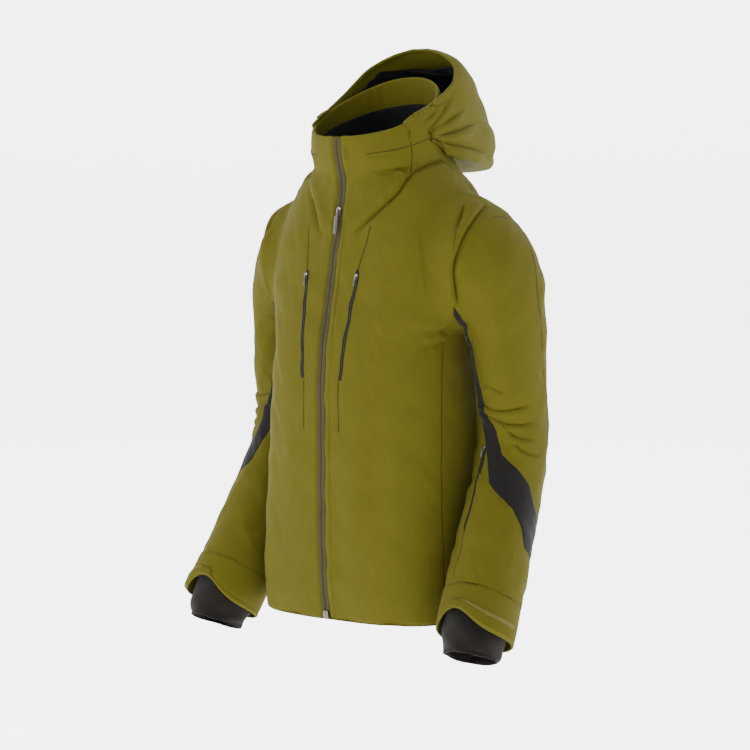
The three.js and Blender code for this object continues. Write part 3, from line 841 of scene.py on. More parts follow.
def addCollarRows(rows, isFront):
    # from the shoulders up the collar, over its rim and down the inside
    wall, rim, rimRound = collar["wall"], shellBuild["rim"], shellBuild["rimRound"]
    last = rows[-1]
    angles = np.arctan2((last[:, 1] - collar["footMiddle"]) / collar["footDepth"], last[:, 0] / collar["footSide"])
    if not isFront:
        angles = np.where(angles < -math.pi / 2, angles + 2 * math.pi, angles)
    out = roundNeck(angles)
    foot = collarLevel(angles, 0)
    for t in np.linspace(0, 1, shellBuild["neckRows"] + 2)[1:-1]:
        rows.append(last * (1 - t) + foot * t)
    for share in np.linspace(0, rim, shellBuild["collarRows"]):
        rows.append(collarLevel(angles, share))
    for turn in np.radians(shellBuild["rimTurns"]):
        rows.append(collarLevel(angles, rim + rimRound * math.sin(turn)) - out * wall * (1 - math.cos(turn)) / 2)
    for share in np.linspace(shellBuild["insideTop"], shellBuild["insideFoot"], shellBuild["insideRows"]):
        pucker = np.sin(angles * 46 + 2.2 * np.sin(angles * 7)) * np.exp(-((angles - 2.2) / 0.55) ** 2) * 1.1
        rows.append(collarLevel(angles, share) - out * (wall + pucker)[:, None])


def addHemRows(rows):
    # the hem turns up inside
    level = rows[0]
    inward = level * np.array([-1, -1, 0]) / np.linalg.norm(level[:, :2], axis=1, keepdims=True)
    for rise, reach in shellBuild["hemTurn"]:
        rows.insert(0, level + inward * reach + np.array([0, 0, rise]))


def sleeveGrid(frontEdge, backEdge):
    # the first ring is the armhole's own edge, so that the skins meet point to point
    ring = np.vstack([backEdge, frontEdge[::-1][1:-1]])
    middleY, middleZ = torso["armholeMiddle"]
    angles = np.degrees(np.arctan2(ring[:, 1] - middleY, ring[:, 2] - middleZ))
    rings = len(arm["rings"])
    places = np.linspace(0, rings - 1, (rings - 1) * shellBuild["armRowsPerRing"] + 1)
    place, angle = np.meshgrid(places, angles, indexing="ij")
    angle = evenAngles(place, angle)
    grid = armPoint(place, angle)
    grid[0] = ring
    turn = np.radians(angle)
    return grid, np.stack([turn * 0.06, np.repeat(places[:, None] * 0.055, grid.shape[1], axis=1)], axis=-1)


def shellPatches():
    # each patch: grid of points, flat cloth positions, number of its piece, whether it closes round and turns over
    heights = bodyHeights()
    fronts, backs, flats = torsoRows(heights)
    inside = (heights >= torso["armholeLow"]) & (heights <= torso["armholeHigh"])
    frontEdge = np.array(fronts)[inside][:, -1]
    backEdge = np.array(backs)[inside][:, 0]
    for isFront, rows in ((True, fronts), (False, backs)):
        addCollarRows(rows, isFront)
        addHemRows(rows)
    flats = [flats[0]] * len(shellBuild["hemTurn"]) + flats
    across = np.array(flats + [flats[-1]] * (len(fronts) - len(flats)))
    patches = []
    for rows in (fronts, backs):
        grid = np.array(rows)
        steps = np.linalg.norm(np.diff(grid[:, torso["columns"] - 1], axis=0), axis=1)
        rise = np.cumsum(np.concatenate([[0], steps]))
        flat = np.stack([across, np.repeat(rise[:, None], grid.shape[1], axis=1)], axis=-1) / 1000
        patches.append((grid, flat, 0, False, False))
    grid, flat = sleeveGrid(frontEdge, backEdge)
    patches.append((grid, flat, 1, True, False))
    patches.append((mirrorX(grid), flat, 2, True, True))
    return patches


def evenAngles(place, angle):
    # down the sleeve the columns spread out evenly
    count = angle.shape[1]
    turned = np.unwrap(np.radians(angle), axis=1)
    even = turned[:, :1] + np.sign(turned[0, 1] - turned[0, 0]) * np.arange(count) * 2 * math.pi / count
    ease = softStep(place, 0.3, 3.5)
    return np.degrees(turned * (1 - ease) + even * ease)


def buildShell():
    # torso, collar and both sleeves as one skin, shaped as one and only then parted into pieces
    points = []
    faces = []
    flats = []
    parts = []
    for grid, flat, part, wraps, flip in shellPatches():
        own = gridFaces(grid.shape[0], grid.shape[1], wraps)
        if flip:
            own = own[:, ::-1]
        faces.append(own + sum(len(p) for p in points))
        points.append(grid.reshape(-1, 3))
        flats.append(flat.reshape(-1, 2))
        parts.append(np.full(len(own), part))
    skin = addPiece("shell", np.vstack(points), np.vstack(faces), finish["shell"], np.vstack(flats))
    for _ in range(2):
        skin.data.materials.append(finish["shell"])
    skin.data.polygons.foreach_set("material_index", np.concatenate(parts))
    weld(skin, 0.08)
    work = bmesh.new()
    work.from_mesh(skin.data)
    bmesh.ops.recalc_face_normals(work, faces=work.faces)
    work.to_mesh(skin.data)
    work.free()
    relax(skin)
    finer = skin.modifiers.new("finer", "SUBSURF")
    finer.levels = finer.render_levels = 1
    settle(skin)
    refine(skin)
    sculpt(skin)
    return parted(skin, ("bodyShell", "sleeveLeft", "sleeveRight"))


def refine(skin):
    # smaller faces where a crease or a seam will be pressed in
    creases = [(path, width) for path, width, depth, ridge, fade, side in bodyFolds + collarFolds
               if width < crispWidth]
    for path, width, depth, ridge, fade, side in armFolds:
        if width < crispWidth:
            creases += [(armPath(path), width), (mirrorX(armPath(path)), width)]
    for reach in (2.4, 1.2):
        points = millimetres(skin.data)
        near = np.zeros(len(points), bool)
        for path, width in creases:
            path = rounded(path)
            low, high = path.min(axis=0) - 20, path.max(axis=0) + 20
            close = np.nonzero(((points > low) & (points < high)).all(axis=1))[0]
            away = pathDistance(points[close], path)[0]
            near[close[away < width * reach]] = True
        work = bmesh.new()
        work.from_mesh(skin.data)
        work.verts.ensure_lookup_table()
        chosen = [edge for edge in work.edges if near[edge.verts[0].index] and near[edge.verts[1].index]]
        bmesh.ops.subdivide_edges(work, edges=chosen, cuts=1, use_grid_fill=True)
        work.to_mesh(skin.data)
        work.free()


def millimetres(mesh):
    places = np.empty(len(mesh.vertices) * 3, dtype=np.float32)
    mesh.vertices.foreach_get("co", places)
    return (places.reshape(-1, 3).astype(float) - toFrame([0, 0, 0])) * 1000


def setMillimetres(mesh, points):
    mesh.vertices.foreach_set("co", toFrame(points).astype(np.float32).ravel())
    mesh.update()


def neighbours(mesh):
    edges = np.empty(len(mesh.edges) * 2, dtype=np.int32)
    mesh.edges.foreach_get("vertices", edges)
    return edges.reshape(-1, 2)


def relax(skin):
    # evens out the armhole and the neck, where the patches meet
    points = millimetres(skin.data)
    edges = neighbours(skin.data)
    near = np.abs(np.abs(points[:, 0]) - torso["armholeX"])
    near = np.where((points[:, 2] > torso["armholeLow"] - 30) & (points[:, 2] < torso["armholeHigh"] + 30), near, 1e3)
    neck = np.abs(points[:, 2] - 706 - 17 * (1 + points[:, 1] / 120))
    weight = np.exp(-(near / shellBuild["smoothReach"]) ** 2)
    weight = weight + 0.7 * np.exp(-(neck / 9) ** 2) * (np.abs(points[:, 0]) > 12)
    weight = np.clip(weight, 0, 1)[:, None] * shellBuild["smoothStrength"]
    weight[points[:, 2] < 3] = 0
    for _ in range(shellBuild["smoothing"]):
        total = np.zeros_like(points)
        count = np.zeros(len(points))
        for a, b in ((0, 1), (1, 0)):
            np.add.at(total, edges[:, a], points[edges[:, b]])
            np.add.at(count, edges[:, a], 1)
        points = points * (1 - weight) + total / count[:, None] * weight
    setMillimetres(skin.data, points)


def sculpt(skin):
    points = millimetres(skin.data)
    normals = np.array([tuple(v.normal) for v in skin.data.vertices])
    part = np.zeros(len(points), int)
    for face in skin.data.polygons:
        for k in face.vertices:
            part[k] = max(part[k], face.material_index)
    start = points.copy()
    onBody = part == 0
    nearShoulder = (np.abs(points[:, 0]) < 175) & (points[:, 2] > 440)
    for path, width, depth, ridge, fade, side in bodyFolds:
        use = onBody | nearShoulder
        points[use] = fold(points[use], normals[use], path, width, depth, ridge, fade, side)
    for path, width, depth, ridge, fade, side in collarFolds:
        points[onBody] = fold(points[onBody], normals[onBody], path, width, depth, ridge, fade, side)
    for seams in (onBothSides(bodySeams), onBothSides(collarSeams)):
        for path in seams.values():
            points[onBody] = seamGroove(points[onBody], normals[onBody], path)
    for number, side in ((1, 1), (2, -1)):
        use = (part == number) | (nearShoulder & (points[:, 0] * side > 120))
        flipped = bothSides(points[use], side)
        turned = bothSides(normals[use], side)
        for path, width, depth, ridge, fade, ridgeSide in armFolds:
            flipped = fold(flipped, turned, armPath(path), width, depth, ridge, fade, ridgeSide)
        for path in armSeams.values():
            flipped = seamGroove(flipped, turned, armPath(path), 2.0, 1.2)
        points[use] = bothSides(flipped, side)
    x = np.abs(start[:, 0])
    z = start[:, 2]
    isFront = (start[:, 1] < -60) & onBody & (normals[:, 1] < 0.2)
    recess = -3.4 * (1 - softStep(x, 6.5, 9.5)) + 1.0 * np.exp(-((x - 15) / 5) ** 2)
    hem = -0.9 * np.exp(-((z - 24) / 1.8) ** 2) - 4.0 * (1 - softStep(z, 0, 7)) ** 2
    lumps = shellBuild["lumps"] * softLumps(start) * np.where(onBody & (z > 712), 0.3, 1.0)
    points = points + normals * (np.where(isFront, recess, 0) + np.where(onBody, hem, 0) + lumps)[:, None]
    setMillimetres(skin.data, points)


def softLumps(points):
    # slow padded unevenness, the same on every run
    x, y, z = (points / 1000).T
    value = np.sin(41 * x + 2.6 * np.sin(23 * z + 1) + 1.3) * np.sin(37 * z + 2.1 * np.sin(19 * x + 31 * y))
    value += 0.6 * np.sin(83 * z + 3.1 * np.sin(47 * x - 29 * y) + 0.7) * np.sin(71 * x + 53 * y + 2.0)
    return value + 0.35 * np.sin(160 * z + 4 * np.sin(67 * x + 40 * y)) * np.sin(120 * x - 90 * y)


def parted(skin, names):
    # cuts the skin into pieces, each keeping the shading of the whole
    mesh = skin.data
    corners = np.empty(len(mesh.loops) * 3, dtype=np.float32)
    mesh.corner_normals.foreach_get("vector", corners)
    corners = corners.reshape(-1, 3)
    verts = np.array([v.co[:] for v in mesh.vertices])
    cloth = np.empty(len(mesh.loops) * 2, dtype=np.float32)
    mesh.uv_layers["cloth"].data.foreach_get("uv", cloth)
    cloth = cloth.reshape(-1, 2)
    pieces = []
    for number, name in enumerate(names):
        chosen = [face for face in mesh.polygons if face.material_index == number]
        loops = np.concatenate([np.arange(face.loop_start, face.loop_start + face.loop_total) for face in chosen])
        used, packed = np.unique(np.concatenate([face.vertices[:] for face in chosen]), return_inverse=True)
        faces = []
        at = 0
        for face in chosen:
            faces.append(packed[at:at + face.loop_total].tolist())
            at += face.loop_total
        part = bpy.data.meshes.new(name)
        part.from_pydata(verts[used].tolist(), [], faces)
        layer = part.uv_layers.new(name="cloth")
        layer.data.foreach_set("uv", cloth[loops].ravel())
        part.polygons.foreach_set("use_smooth", [True] * len(part.polygons))
        part.materials.append(finish["shell"])
        part.normals_split_custom_set(corners[loops].tolist())
        piece = bpy.data.objects.new(name, part)
        bpy.context.scene.collection.objects.link(piece)
        pieces.append(piece)
    bpy.data.objects.remove(skin)
    return pieces


fleece = {"columns": 170, "rows": 14, "top": 0.66, "low": 0.03, "gap": 1.0, "thick": 2.4}


def buildFleece():
    columns, rows = fleece["columns"], fleece["rows"]
    angles = np.linspace(-math.pi / 2 + 0.04, 3 * math.pi / 2 - 0.04, columns)
    away = np.abs(angles - math.pi / 2)
    top = fleece["top"] - 0.45 * softStep(away, 1.5, 2.9)
    rings = []
    for share in np.linspace(0, 1, rows):
        ring = collarRing(angles, top * (1 - share) + fleece["low"] * share)
        rings.append(ring - roundNeck(angles) * (collar["wall"] + fleece["gap"]))
    flat = np.stack([np.tile(angles, rows) * 0.1, np.repeat(np.arange(rows) * 0.006, columns)], axis=-1)
    inside = addPiece("collarFleece", np.array(rings).reshape(-1, 3), gridFaces(rows, columns), finish["fleece"], flat)
    return thicken(inside, fleece["thick"], offset=1)


hood = {
    # front edge, side fold, then side reach, side y and z, back y and z, from the neck seam up to the crown
    "stations": [
        (98, -86, 757, 107, -50, 764, 116, -14, 744, 90, 742),
        (98, -86, 760, 108, -50, 767, 121, -18, 744, 150, 719),
        (98, -86, 764, 109, -50, 771, 124, -24, 754, 200, 720), (97, -86, 770, 109, -50, 779, 124, -28, 768, 220, 748),
        (96, -87, 777, 107, -52, 789, 121, -28, 784, 214, 775),
        (95.5, -88, 785, 105, -50, 800, 117, -26, 802, 206, 800),
        (95, -89, 794, 104, -46, 814, 113, -14, 824, 192, 819), (104, -40, 819, 107, -16, 832, 110, -2, 836, 177, 838),
        (107, -2, 841, 108, 8, 846, 107, 14, 850, 156, 860), (105, 24, 860, 103, 30, 866, 101, 34, 870, 124, 884),
        (89, 46, 886, 87, 48, 888, 84, 51, 892, 96, 903), (53, 61, 907, 51, 62, 908, 48, 63, 909, 84, 914),
        (15, 71, 918, 14, 71.5, 918, 13, 72, 918, 77, 918),
    ],
    "turns": [8, 20, 34, 50, 70, 90], "square": 0.88, "rowsPerStation": 13, "half": 84, "lip": 4.5, "facing": 42,
    "seam": 0.6, "liningGap": 8.5, "liningThick": 1.0,
}
hoodLines = curvesThrough(hood["stations"])


def hoodLoop(place, samples, margin=0.0):
    # from the front edge round the side to the middle of the back, evenly spaced
    x0, y0, z0, x1, y1, z1, side, rimY, rimZ, backY, backZ = [float(line(place)) for line in hoodLines]
    knots = [(x0, y0, z0), (x1, y1, z1)]
    for turn in np.radians(hood["turns"]):
        out = abs(math.cos(turn)) ** hood["square"]
        back = math.sin(turn) ** hood["square"]
        knots.append((side * out, rimY + (backY - rimY) * back, rimZ + (backZ - rimZ) * back))
    knots = np.array(knots)
    low = 1 - float(softStep(place, 5.4, 7))
    knots[1] = knots[1] * low + (knots[0] + knots[2]) / 2 * (1 - low)
    knots = np.vstack([knots, mirrorX(knots[-2])])
    reach = np.concatenate([[0], np.cumsum(np.linalg.norm(np.diff(knots, axis=0), axis=1) ** 0.7)])
    lines = [smoothCurve(reach, knots[:, axis]) for axis in range(3)]
    fine = np.linspace(0, reach[-2], 260)
    path = np.stack([line(fine) for line in lines], axis=-1)
    path[-1, 0] = 0
    run = np.concatenate([[0], np.cumsum(np.linalg.norm(np.diff(path, axis=0), axis=1))])
    at = np.linspace(min(margin, run[-1] * 0.9), run[-1], samples)
    return np.stack([np.interp(at, run, path[:, axis]) for axis in range(3)], axis=-1), at


hoodFolds = [
    # creases that fan up and back from the front end of the hood's base
    ([(106, -48, 776), (110, -22, 800), (109, 2, 822), (106, 14, 838)], 3.6, 4.2, 3.4, (0.0, 0.4), 1),
    ([(108, -48, 773), (115, -14, 790), (115, 22, 806), (110, 50, 822)], 4, 5, 4, (0.0, 0.4), 1),
    ([(110, -46, 769), (121, -6, 774), (122, 40, 784), (114, 86, 796)], 5, 6.5, 5, (0.0, 0.4), 1),
    ([(108, -50, 766), (119, -20, 759), (123, 20, 754), (121, 70, 748), (110, 120, 740)], 6, 8, 5, (0.0, 0.3), 1),
    ([(104, -60, 790), (108, -34, 806), (110, -16, 822)], 3.5, 2, 2, (0.2, 0.4), 1),
    # soft dents over the back
    ([(104, 90, 800), (84, 150, 800), (50, 196, 790)], 12, 3, 3, (0.3, 0.4), 1),
    ([(98, 80, 840), (80, 130, 846), (40, 168, 838)], 12, 3, 2.5, (0.3, 0.4), -1),
    ([(96, 150, 735), (70, 196, 745), (30, 222, 756)], 9, 4, 3, (0.2, 0.4), 1),
]


def hoodGrid(places, samples, margin=0.0):
    rows = []
    runs = []
    for place in places:
        # low down the collar fills the front of the hood
        half, run = hoodLoop(place, samples, margin and margin + 75 * (1 - float(softStep(place, 5.2, 7))))
        rows.append(np.vstack([half, mirrorX(half[::-1][1:])]))
        runs.append(np.concatenate([run, 2 * run[-1] - run[::-1][1:]]))
    return np.array(rows), np.array(runs)


def hoodSeamPath():
    places = np.linspace(2.2, len(hood["stations"]) - 1.6, 40)
    path = np.array([hoodLoop(place, hood["half"])[0][int(hood["seam"] * hood["half"])] for place in places])
    return smoothRows(path, 12)


def hoodPlaces():
    top = len(hood["stations"]) - 1
    return np.linspace(0, top, top * hood["rowsPerStation"] + 1)


def hoodHold(places, columns):
    # how far each point may leave the plain hood: not at its front edge, and half as much over the crown
    half = np.arange(hood["half"])
    fromEdge = softStep(np.tile(np.concatenate([half, half[:-1][::-1]]), len(places)), 0, 5)
    high = np.repeat(softStep(places, 5.6, 6.2), columns)
    return fromEdge[:, None] * (1 - 0.5 * high[:, None])


def buildHoodShell():
    places = hoodPlaces()
    grid, runs = hoodGrid(places, hood["half"])
    points = grid.reshape(-1, 3)
    out = gridNormals(grid).reshape(-1, 3)
    for path, width, depth, ridge, fade, side in hoodFolds:
        points = fold(points, out, path, width, depth, ridge, fade, side)
        points = fold(points, out, mirrorX(path), width, depth, ridge, fade, -side)
    seam = hoodSeamPath()
    for path in (seam, mirrorX(seam)):
        points = seamGroove(points, out, path, 2.0, 1.2)
    hold = hoodHold(places, grid.shape[1])
    points = grid.reshape(-1, 3) * (1 - hold) + points * hold + out * 1.4
    flat = np.stack([runs.ravel() / 1000, np.repeat(places * 0.025, grid.shape[1])], axis=-1)
    shell = addPiece("hoodShell", points, gridFaces(len(places), grid.shape[1]), finish["shell"], flat)
    return thicken(shell, hood["lip"])


def buildHoodLining():
    places = hoodPlaces()
    inner = places[(places >= 4) & (places <= len(hood["stations"]) - 1 - 2.45)]
    grid, runs = hoodGrid(inner, hood["half"], hood["facing"])
    ripple = np.sin(runs / 13 + inner[:, None] * 3) * 1.1 + np.sin(runs / 31 - inner[:, None] * 5) * 1.8
    lining = grid - gridNormals(grid) * (hood["liningGap"] + ripple)[..., None]
    flat = np.stack([runs.ravel() / 1000, np.repeat(inner * 0.025, grid.shape[1])], axis=-1)
    faces = gridFaces(len(inner), grid.shape[1])
    cloth = addPiece("hoodLining", lining.reshape(-1, 3), faces, finish["lining"], flat)
    return thicken(cloth, hood["liningThick"])


# Cuffs and gaiters

cuff = {
    "rings": [(193, 46, 316, 58, -101, 67, 29), (197, 18, 320.5, 29, -117.5, 67.5, 29),
              (200.5, -11, 324, 0, -133.5, 66, 28)],
    "rows": 30, "columns": 128, "wall": 3, "notch": 0.4, "notchAngle": -92, "notchWidth": 36,
}
gaiter = {
    "rings": [(205, 26, 308, 34, -114, 53, 29), (210, -4, 312, 3, -129, 51, 28), (216, -26, 310, -20, -141, 45, 25),
              (221, -36, 307, -31, -146, 42, 23)],
    "rows": 34, "columns": 108, "wall": 2,
}


def tubePoint(rings, place, angle):
    return ovalPoint(curvesThrough(rings), place, np.radians(angle))


def notched(spec, place, angle):
    # an edge that rises where it has a notch
    if "notch" not in spec:
        return place
    return place * (1 - spec["notch"] * np.exp(-((angle - spec["notchAngle"]) / spec["notchWidth"]) ** 2))


def buildTube(name, spec, side, material, shape):
    places = np.linspace(0, len(spec["rings"]) - 1, spec["rows"])
    angles = np.linspace(180, -180, spec["columns"], endpoint=False)
    place, angle = np.meshgrid(places, angles, indexing="ij")
    grid = tubePoint(spec["rings"], notched(spec, place, angle), angle)
    grid = grid + gridNormals(grid, True) * shape(place, angle)[..., None]
    flat = np.stack([np.radians(angle.ravel()) * 0.06, grid.reshape(-1, 3)[:, 2] / 1000], axis=-1)
    faces = gridFaces(grid.shape[0], grid.shape[1], True)
    return thicken(addSidePiece(name, grid, faces, finish[material], flat, side), spec["wall"])


def cuffShape(place, angle):
    rolled = -2.5 * (1 - softStep(2 - place, 0, 0.12)) ** 2
    return rolled - 1.0 * np.exp(-((place - 1.72) / 0.05) ** 2) - 1.0 * np.exp(-((place - 0.04) / 0.05) ** 2)


def gaiterShape(place, angle):
    ribs = 0.45 * np.sin(np.radians(angle) * 54)
    folds = 1.3 * np.sin(np.radians(angle) * 3 + place * 2.5) + 0.9 * np.sin(np.radians(angle) * 5 - place * 4)
    return ribs * softStep(place, 0.2, 0.6) + folds - 1.2 * np.exp(-((place - 2.55) / 0.06) ** 2)


# Linings

liningCut = {"low": 18, "high": 738, "rows": 60, "columns": 46, "start": 0.12, "gap": 9, "ripple": 0.9,
             "thick": 1.2}


def buildBodyLining():
    rows, columns, gap = liningCut["rows"], liningCut["columns"], liningCut["gap"]
    halves = []
    for isFront in (True, False):
        levels = []
        for z in np.linspace(liningCut["low"], liningCut["high"], rows):
            x, y, _ = torsoHalf(z, isFront, columns)
            if isFront:
                # the front stops short of the zip
                keep = np.linspace(liningCut["start"], 1, columns)
                x = np.interp(keep, np.linspace(0, 1, columns), x)
                y = np.interp(keep, np.linspace(0, 1, columns), y)
            levels.append(np.stack([x, y, np.full_like(x, z)], axis=-1))
        halves.append(np.array(levels))
    front, back = halves
    ripple = np.sin(front[..., 0] / 17 + front[..., 2] / 60) * liningCut["ripple"]
    front = front - gridNormals(front) * (gap + ripple)[..., None]
    whole = np.concatenate([back[:, ::-1], mirrorX(back)[:, 1:]], axis=1)
    whole = whole - gridNormals(whole) * gap
    points = np.vstack([front.reshape(-1, 3), mirrorX(front).reshape(-1, 3), whole.reshape(-1, 3)])
    frontFaces = gridFaces(rows, columns)
    count = rows * columns
    faces = np.vstack([frontFaces, frontFaces[:, ::-1] + count, gridFaces(rows, 2 * columns - 1) + 2 * count])
    flat = np.stack([points[:, 0] / 1000, points[:, 2] / 1000], axis=-1)
    return thicken(addPiece("bodyLining", points, faces, finish["lining"], flat), liningCut["thick"])


armLiningCut = {"start": 0.12, "end": 10.7, "rows": 90, "columns": 72, "gap": 7.5, "ripple": 0.8, "thick": 1.0}


def buildSleeveLining(side):
    rows, columns = armLiningCut["rows"], armLiningCut["columns"]
    places = np.linspace(armLiningCut["start"], armLiningCut["end"], rows)
    angles = np.linspace(180, -180, columns, endpoint=False)
    place, angle = np.meshgrid(places, angles, indexing="ij")
    grid = armPoint(place, angle)
    ripple = np.sin(np.radians(angle) * 7 + place * 4) * armLiningCut["ripple"]
    grid = grid - gridNormals(grid, True) * (armLiningCut["gap"] + ripple)[..., None]
    flat = np.stack([np.radians(angle.ravel()) * 0.055, place.ravel() * 0.06], axis=-1)
    cloth = addSidePiece("sleeveLining", grid, gridFaces(rows, columns, True), finish["lining"], flat, side)
    return thicken(cloth, armLiningCut["thick"])


powderSkirt = {"low": 112, "high": 210, "rows": 34, "columns": 120, "frontGap": 14, "inset": 24, "gathers": 96,
               "gatherDepth": 1.6, "thick": 1.4}


def buildPowderSkirt():
    low, high, columns = powderSkirt["low"], powderSkirt["high"], powderSkirt["columns"]
    heights = np.linspace(high, low, powderSkirt["rows"])
    rows = []
    for z in heights:
        left, rear = [np.stack([*torsoHalf(z, isFront, columns)[:2], np.full(columns, z)], axis=-1)
                      for isFront in (True, False)]
        left = left[powderSkirt["frontGap"]:]
        rows.append(np.vstack([left, rear[::-1][1:], mirrorX(rear)[1:], mirrorX(left)[::-1][1:]]))
    grid = np.array(rows)
    at = np.linspace(0, 1, grid.shape[1])[None, :]
    loose = np.sin((heights[:, None] - low) / (high - low) * math.pi)
    wave = np.sin(at * powderSkirt["gathers"] * math.pi * 2) * powderSkirt["gatherDepth"] * (0.35 + loose)
    inset = powderSkirt["inset"] + 3 * (1 - loose)
    grid = grid + gridNormals(grid) * (inset + wave)[..., None]
    flat = np.stack([at.repeat(len(heights), 0).ravel(), heights.repeat(grid.shape[1]) / 1000], axis=-1)
    cloth = addPiece("powderSkirt", grid.reshape(-1, 3), gridFaces(*grid.shape[:2]), finish["lining"], flat)
    return thicken(cloth, powderSkirt["thick"])


chinGuardCut = {"angles": (-84, -60), "columns": 22, "low": 0.2, "high": 0.985, "rows": 26, "gap": 3.4, "thick": 1.8}


def buildChinGuard():
    rows, columns = chinGuardCut["rows"], chinGuardCut["columns"]
    angles = np.radians(np.linspace(*chinGuardCut["angles"], columns))
    grid = np.array([collarLevel(angles, share) - roundNeck(angles) * (collar["wall"] + chinGuardCut["gap"])
                     for share in np.linspace(chinGuardCut["low"], chinGuardCut["high"], rows)])
    flat = np.stack([np.tile(angles, rows) * 0.1, np.repeat(np.arange(rows) * 0.003, columns)], axis=-1)
    guard = addPiece("chinGuard", grid.reshape(-1, 3), gridFaces(rows, columns), finish["fleece"], flat)
    return thicken(guard, chinGuardCut["thick"], offset=1)


pocketBagCut = {"low": 384, "high": 562, "rows": 40, "inner": 30, "outer": 112, "columns": 34, "gap": 4.4,
                "puff": 1.4, "thick": 1.6}


def buildPocketBag(side):
    rows, columns = pocketBagCut["rows"], pocketBagCut["columns"]
    at = np.linspace(pocketBagCut["inner"], pocketBagCut["outer"], columns)
    levels = []
    for z in np.linspace(pocketBagCut["low"], pocketBagCut["high"], rows):
        x, y, _ = torsoHalf(z, True, 200)
        levels.append(np.stack([at, np.interp(at, x, y), np.full(columns, z)], axis=-1))
    grid = np.array(levels)
    row, column = np.meshgrid(np.linspace(-1, 1, rows), np.linspace(-1, 1, columns), indexing="ij")
    puff = pocketBagCut["puff"] * np.clip(1 - row ** 4, 0, 1) * np.clip(1 - column ** 4, 0, 1)
    puff = puff + 0.5 * np.sin(row * 5 + column * 4)
    grid = grid - gridNormals(grid) * (pocketBagCut["gap"] - puff)[..., None]
    flat = np.stack([column.ravel() * 0.04, row.ravel() * 0.09], axis=-1)
    bag = addSidePiece("pocketBag", grid, gridFaces(rows, columns), finish["lining"], flat, side)
    return thicken(bag, pocketBagCut["thick"])


# Stitches and teeth: one small shape repeated along lines

def repeatTree(name):
    tree = bpy.data.node_groups.new(name, "GeometryNodeTree")
    sockets = {}
    for label, kind, value in (("Geometry", "NodeSocketGeometry", None), ("Pitch", "NodeSocketFloat", 0.0034),
                               ("Length", "NodeSocketFloat", 0.0026), ("Width", "NodeSocketFloat", 0.0006),
                               ("Height", "NodeSocketFloat", 0.0005), ("Wander", "NodeSocketFloat", 0.05),
                               ("Seed", "NodeSocketInt", 3), ("Material", "NodeSocketMaterial", None)):
        socket = tree.interface.new_socket(label, in_out="INPUT", socket_type=kind)
        if value is not None:
            socket.default_value = value
        sockets[label] = socket.identifier
    tree.interface.new_socket("Geometry", in_out="OUTPUT", socket_type="NodeSocketGeometry")

    def node(kind, wires=None, values=None, **settings):
        made = tree.nodes.new(kind)
        for label, value in settings.items():
            setattr(made, label, value)
        for label, value in (values or {}).items():
            made.inputs[label].default_value = value
        for label, source in (wires or {}).items():
            tree.links.new(source, made.inputs[label])
        return made.outputs

    start = node("NodeGroupInput")
    curve = node("GeometryNodeMeshToCurve", {"Mesh": start["Geometry"]})
    spread = node("GeometryNodeResampleCurve", {"Curve": curve["Curve"], "Length": start["Pitch"]}, mode="LENGTH")
    shape = node("GeometryNodeMeshUVSphere", None, {"Segments": 8, "Rings": 5, "Radius": 0.5})
    size = node("ShaderNodeCombineXYZ", {"X": start["Length"], "Y": start["Width"], "Z": start["Height"]})
    tangent = node("GeometryNodeInputTangent")
    normal = node("GeometryNodeInputNamedAttribute", None, {"Name": "outward"}, data_type="FLOAT_VECTOR")
    turn = node("FunctionNodeAlignRotationToVector", {"Vector": tangent["Tangent"]}, axis="X")
    lie = node("FunctionNodeAlignRotationToVector", {"Rotation": turn["Rotation"], "Vector": normal["Attribute"]},
               axis="Z", pivot_axis="X")
    jitter = node("FunctionNodeRandomValue", {"Seed": start["Seed"]}, {2: -1, 3: 1}, data_type="FLOAT")
    wander = node("ShaderNodeMath", {0: jitter[1], 1: start["Wander"]}, operation="MULTIPLY")
    swing = node("FunctionNodeAxisAngleToRotation", {"Angle": wander[0]}, {"Axis": (0, 0, 1)})
    both = node("FunctionNodeRotateRotation", {"Rotation": lie["Rotation"], "Rotate By": swing["Rotation"]},
                rotation_space="LOCAL")
    copies = node("GeometryNodeInstanceOnPoints", {"Points": spread["Curve"], "Instance": shape["Mesh"],
                                                   "Rotation": both["Rotation"], "Scale": size["Vector"]})
    real = node("GeometryNodeRealizeInstances", {"Geometry": copies["Instances"]})
    soft = node("GeometryNodeSetShadeSmooth", {"Geometry": real["Geometry"]})
    colour = node("GeometryNodeSetMaterial", {"Geometry": soft["Geometry"], "Material": start["Material"]})
    node("NodeGroupOutput", {"Geometry": colour["Geometry"]})
    return tree, sockets


repeat, repeatSockets = repeatTree("repeatAlong")


def alongLines(name, lines, material, values):
    # lines: (points, normals) pairs in millimetres; values: the tree's named inputs
    points = []
    edges = []
    normals = []
    for line, outward in lines:
        first = len(points)
        points += toFrame(line).tolist()
        normals += list(outward)
        edges += [(first + k, first + k + 1) for k in range(len(line) - 1)]
    mesh = bpy.data.meshes.new(name)
    mesh.from_pydata(points, edges, [])
    mesh.attributes.new("outward", "FLOAT_VECTOR", "POINT").data.foreach_set("vector", np.array(normals).ravel())
    piece = bpy.data.objects.new(name, mesh)
    bpy.context.scene.collection.objects.link(piece)
    maker = piece.modifiers.new("repeat", "NODES")
    maker.node_group = repeat
    for label, value in values.items():
        maker[repeatSockets[label]] = value
    maker[repeatSockets["Material"]] = material
    return settle(piece)


def seamLine(skin, path, shift=0.0, lift=0.15, side=1):
    hits, normals = skin.onto(resample(rounded(bothSides(np.asarray(path, float), side)), 3.0))
    normals = smoothRows(normals, 2)
    along = np.gradient(hits, axis=0)
    along /= np.linalg.norm(along, axis=1, keepdims=True) + 1e-9
    across = np.cross(along, normals)
    moved, normals = skin.onto(hits + across * shift + normals * 1.5)
    return moved + normals * lift, normals


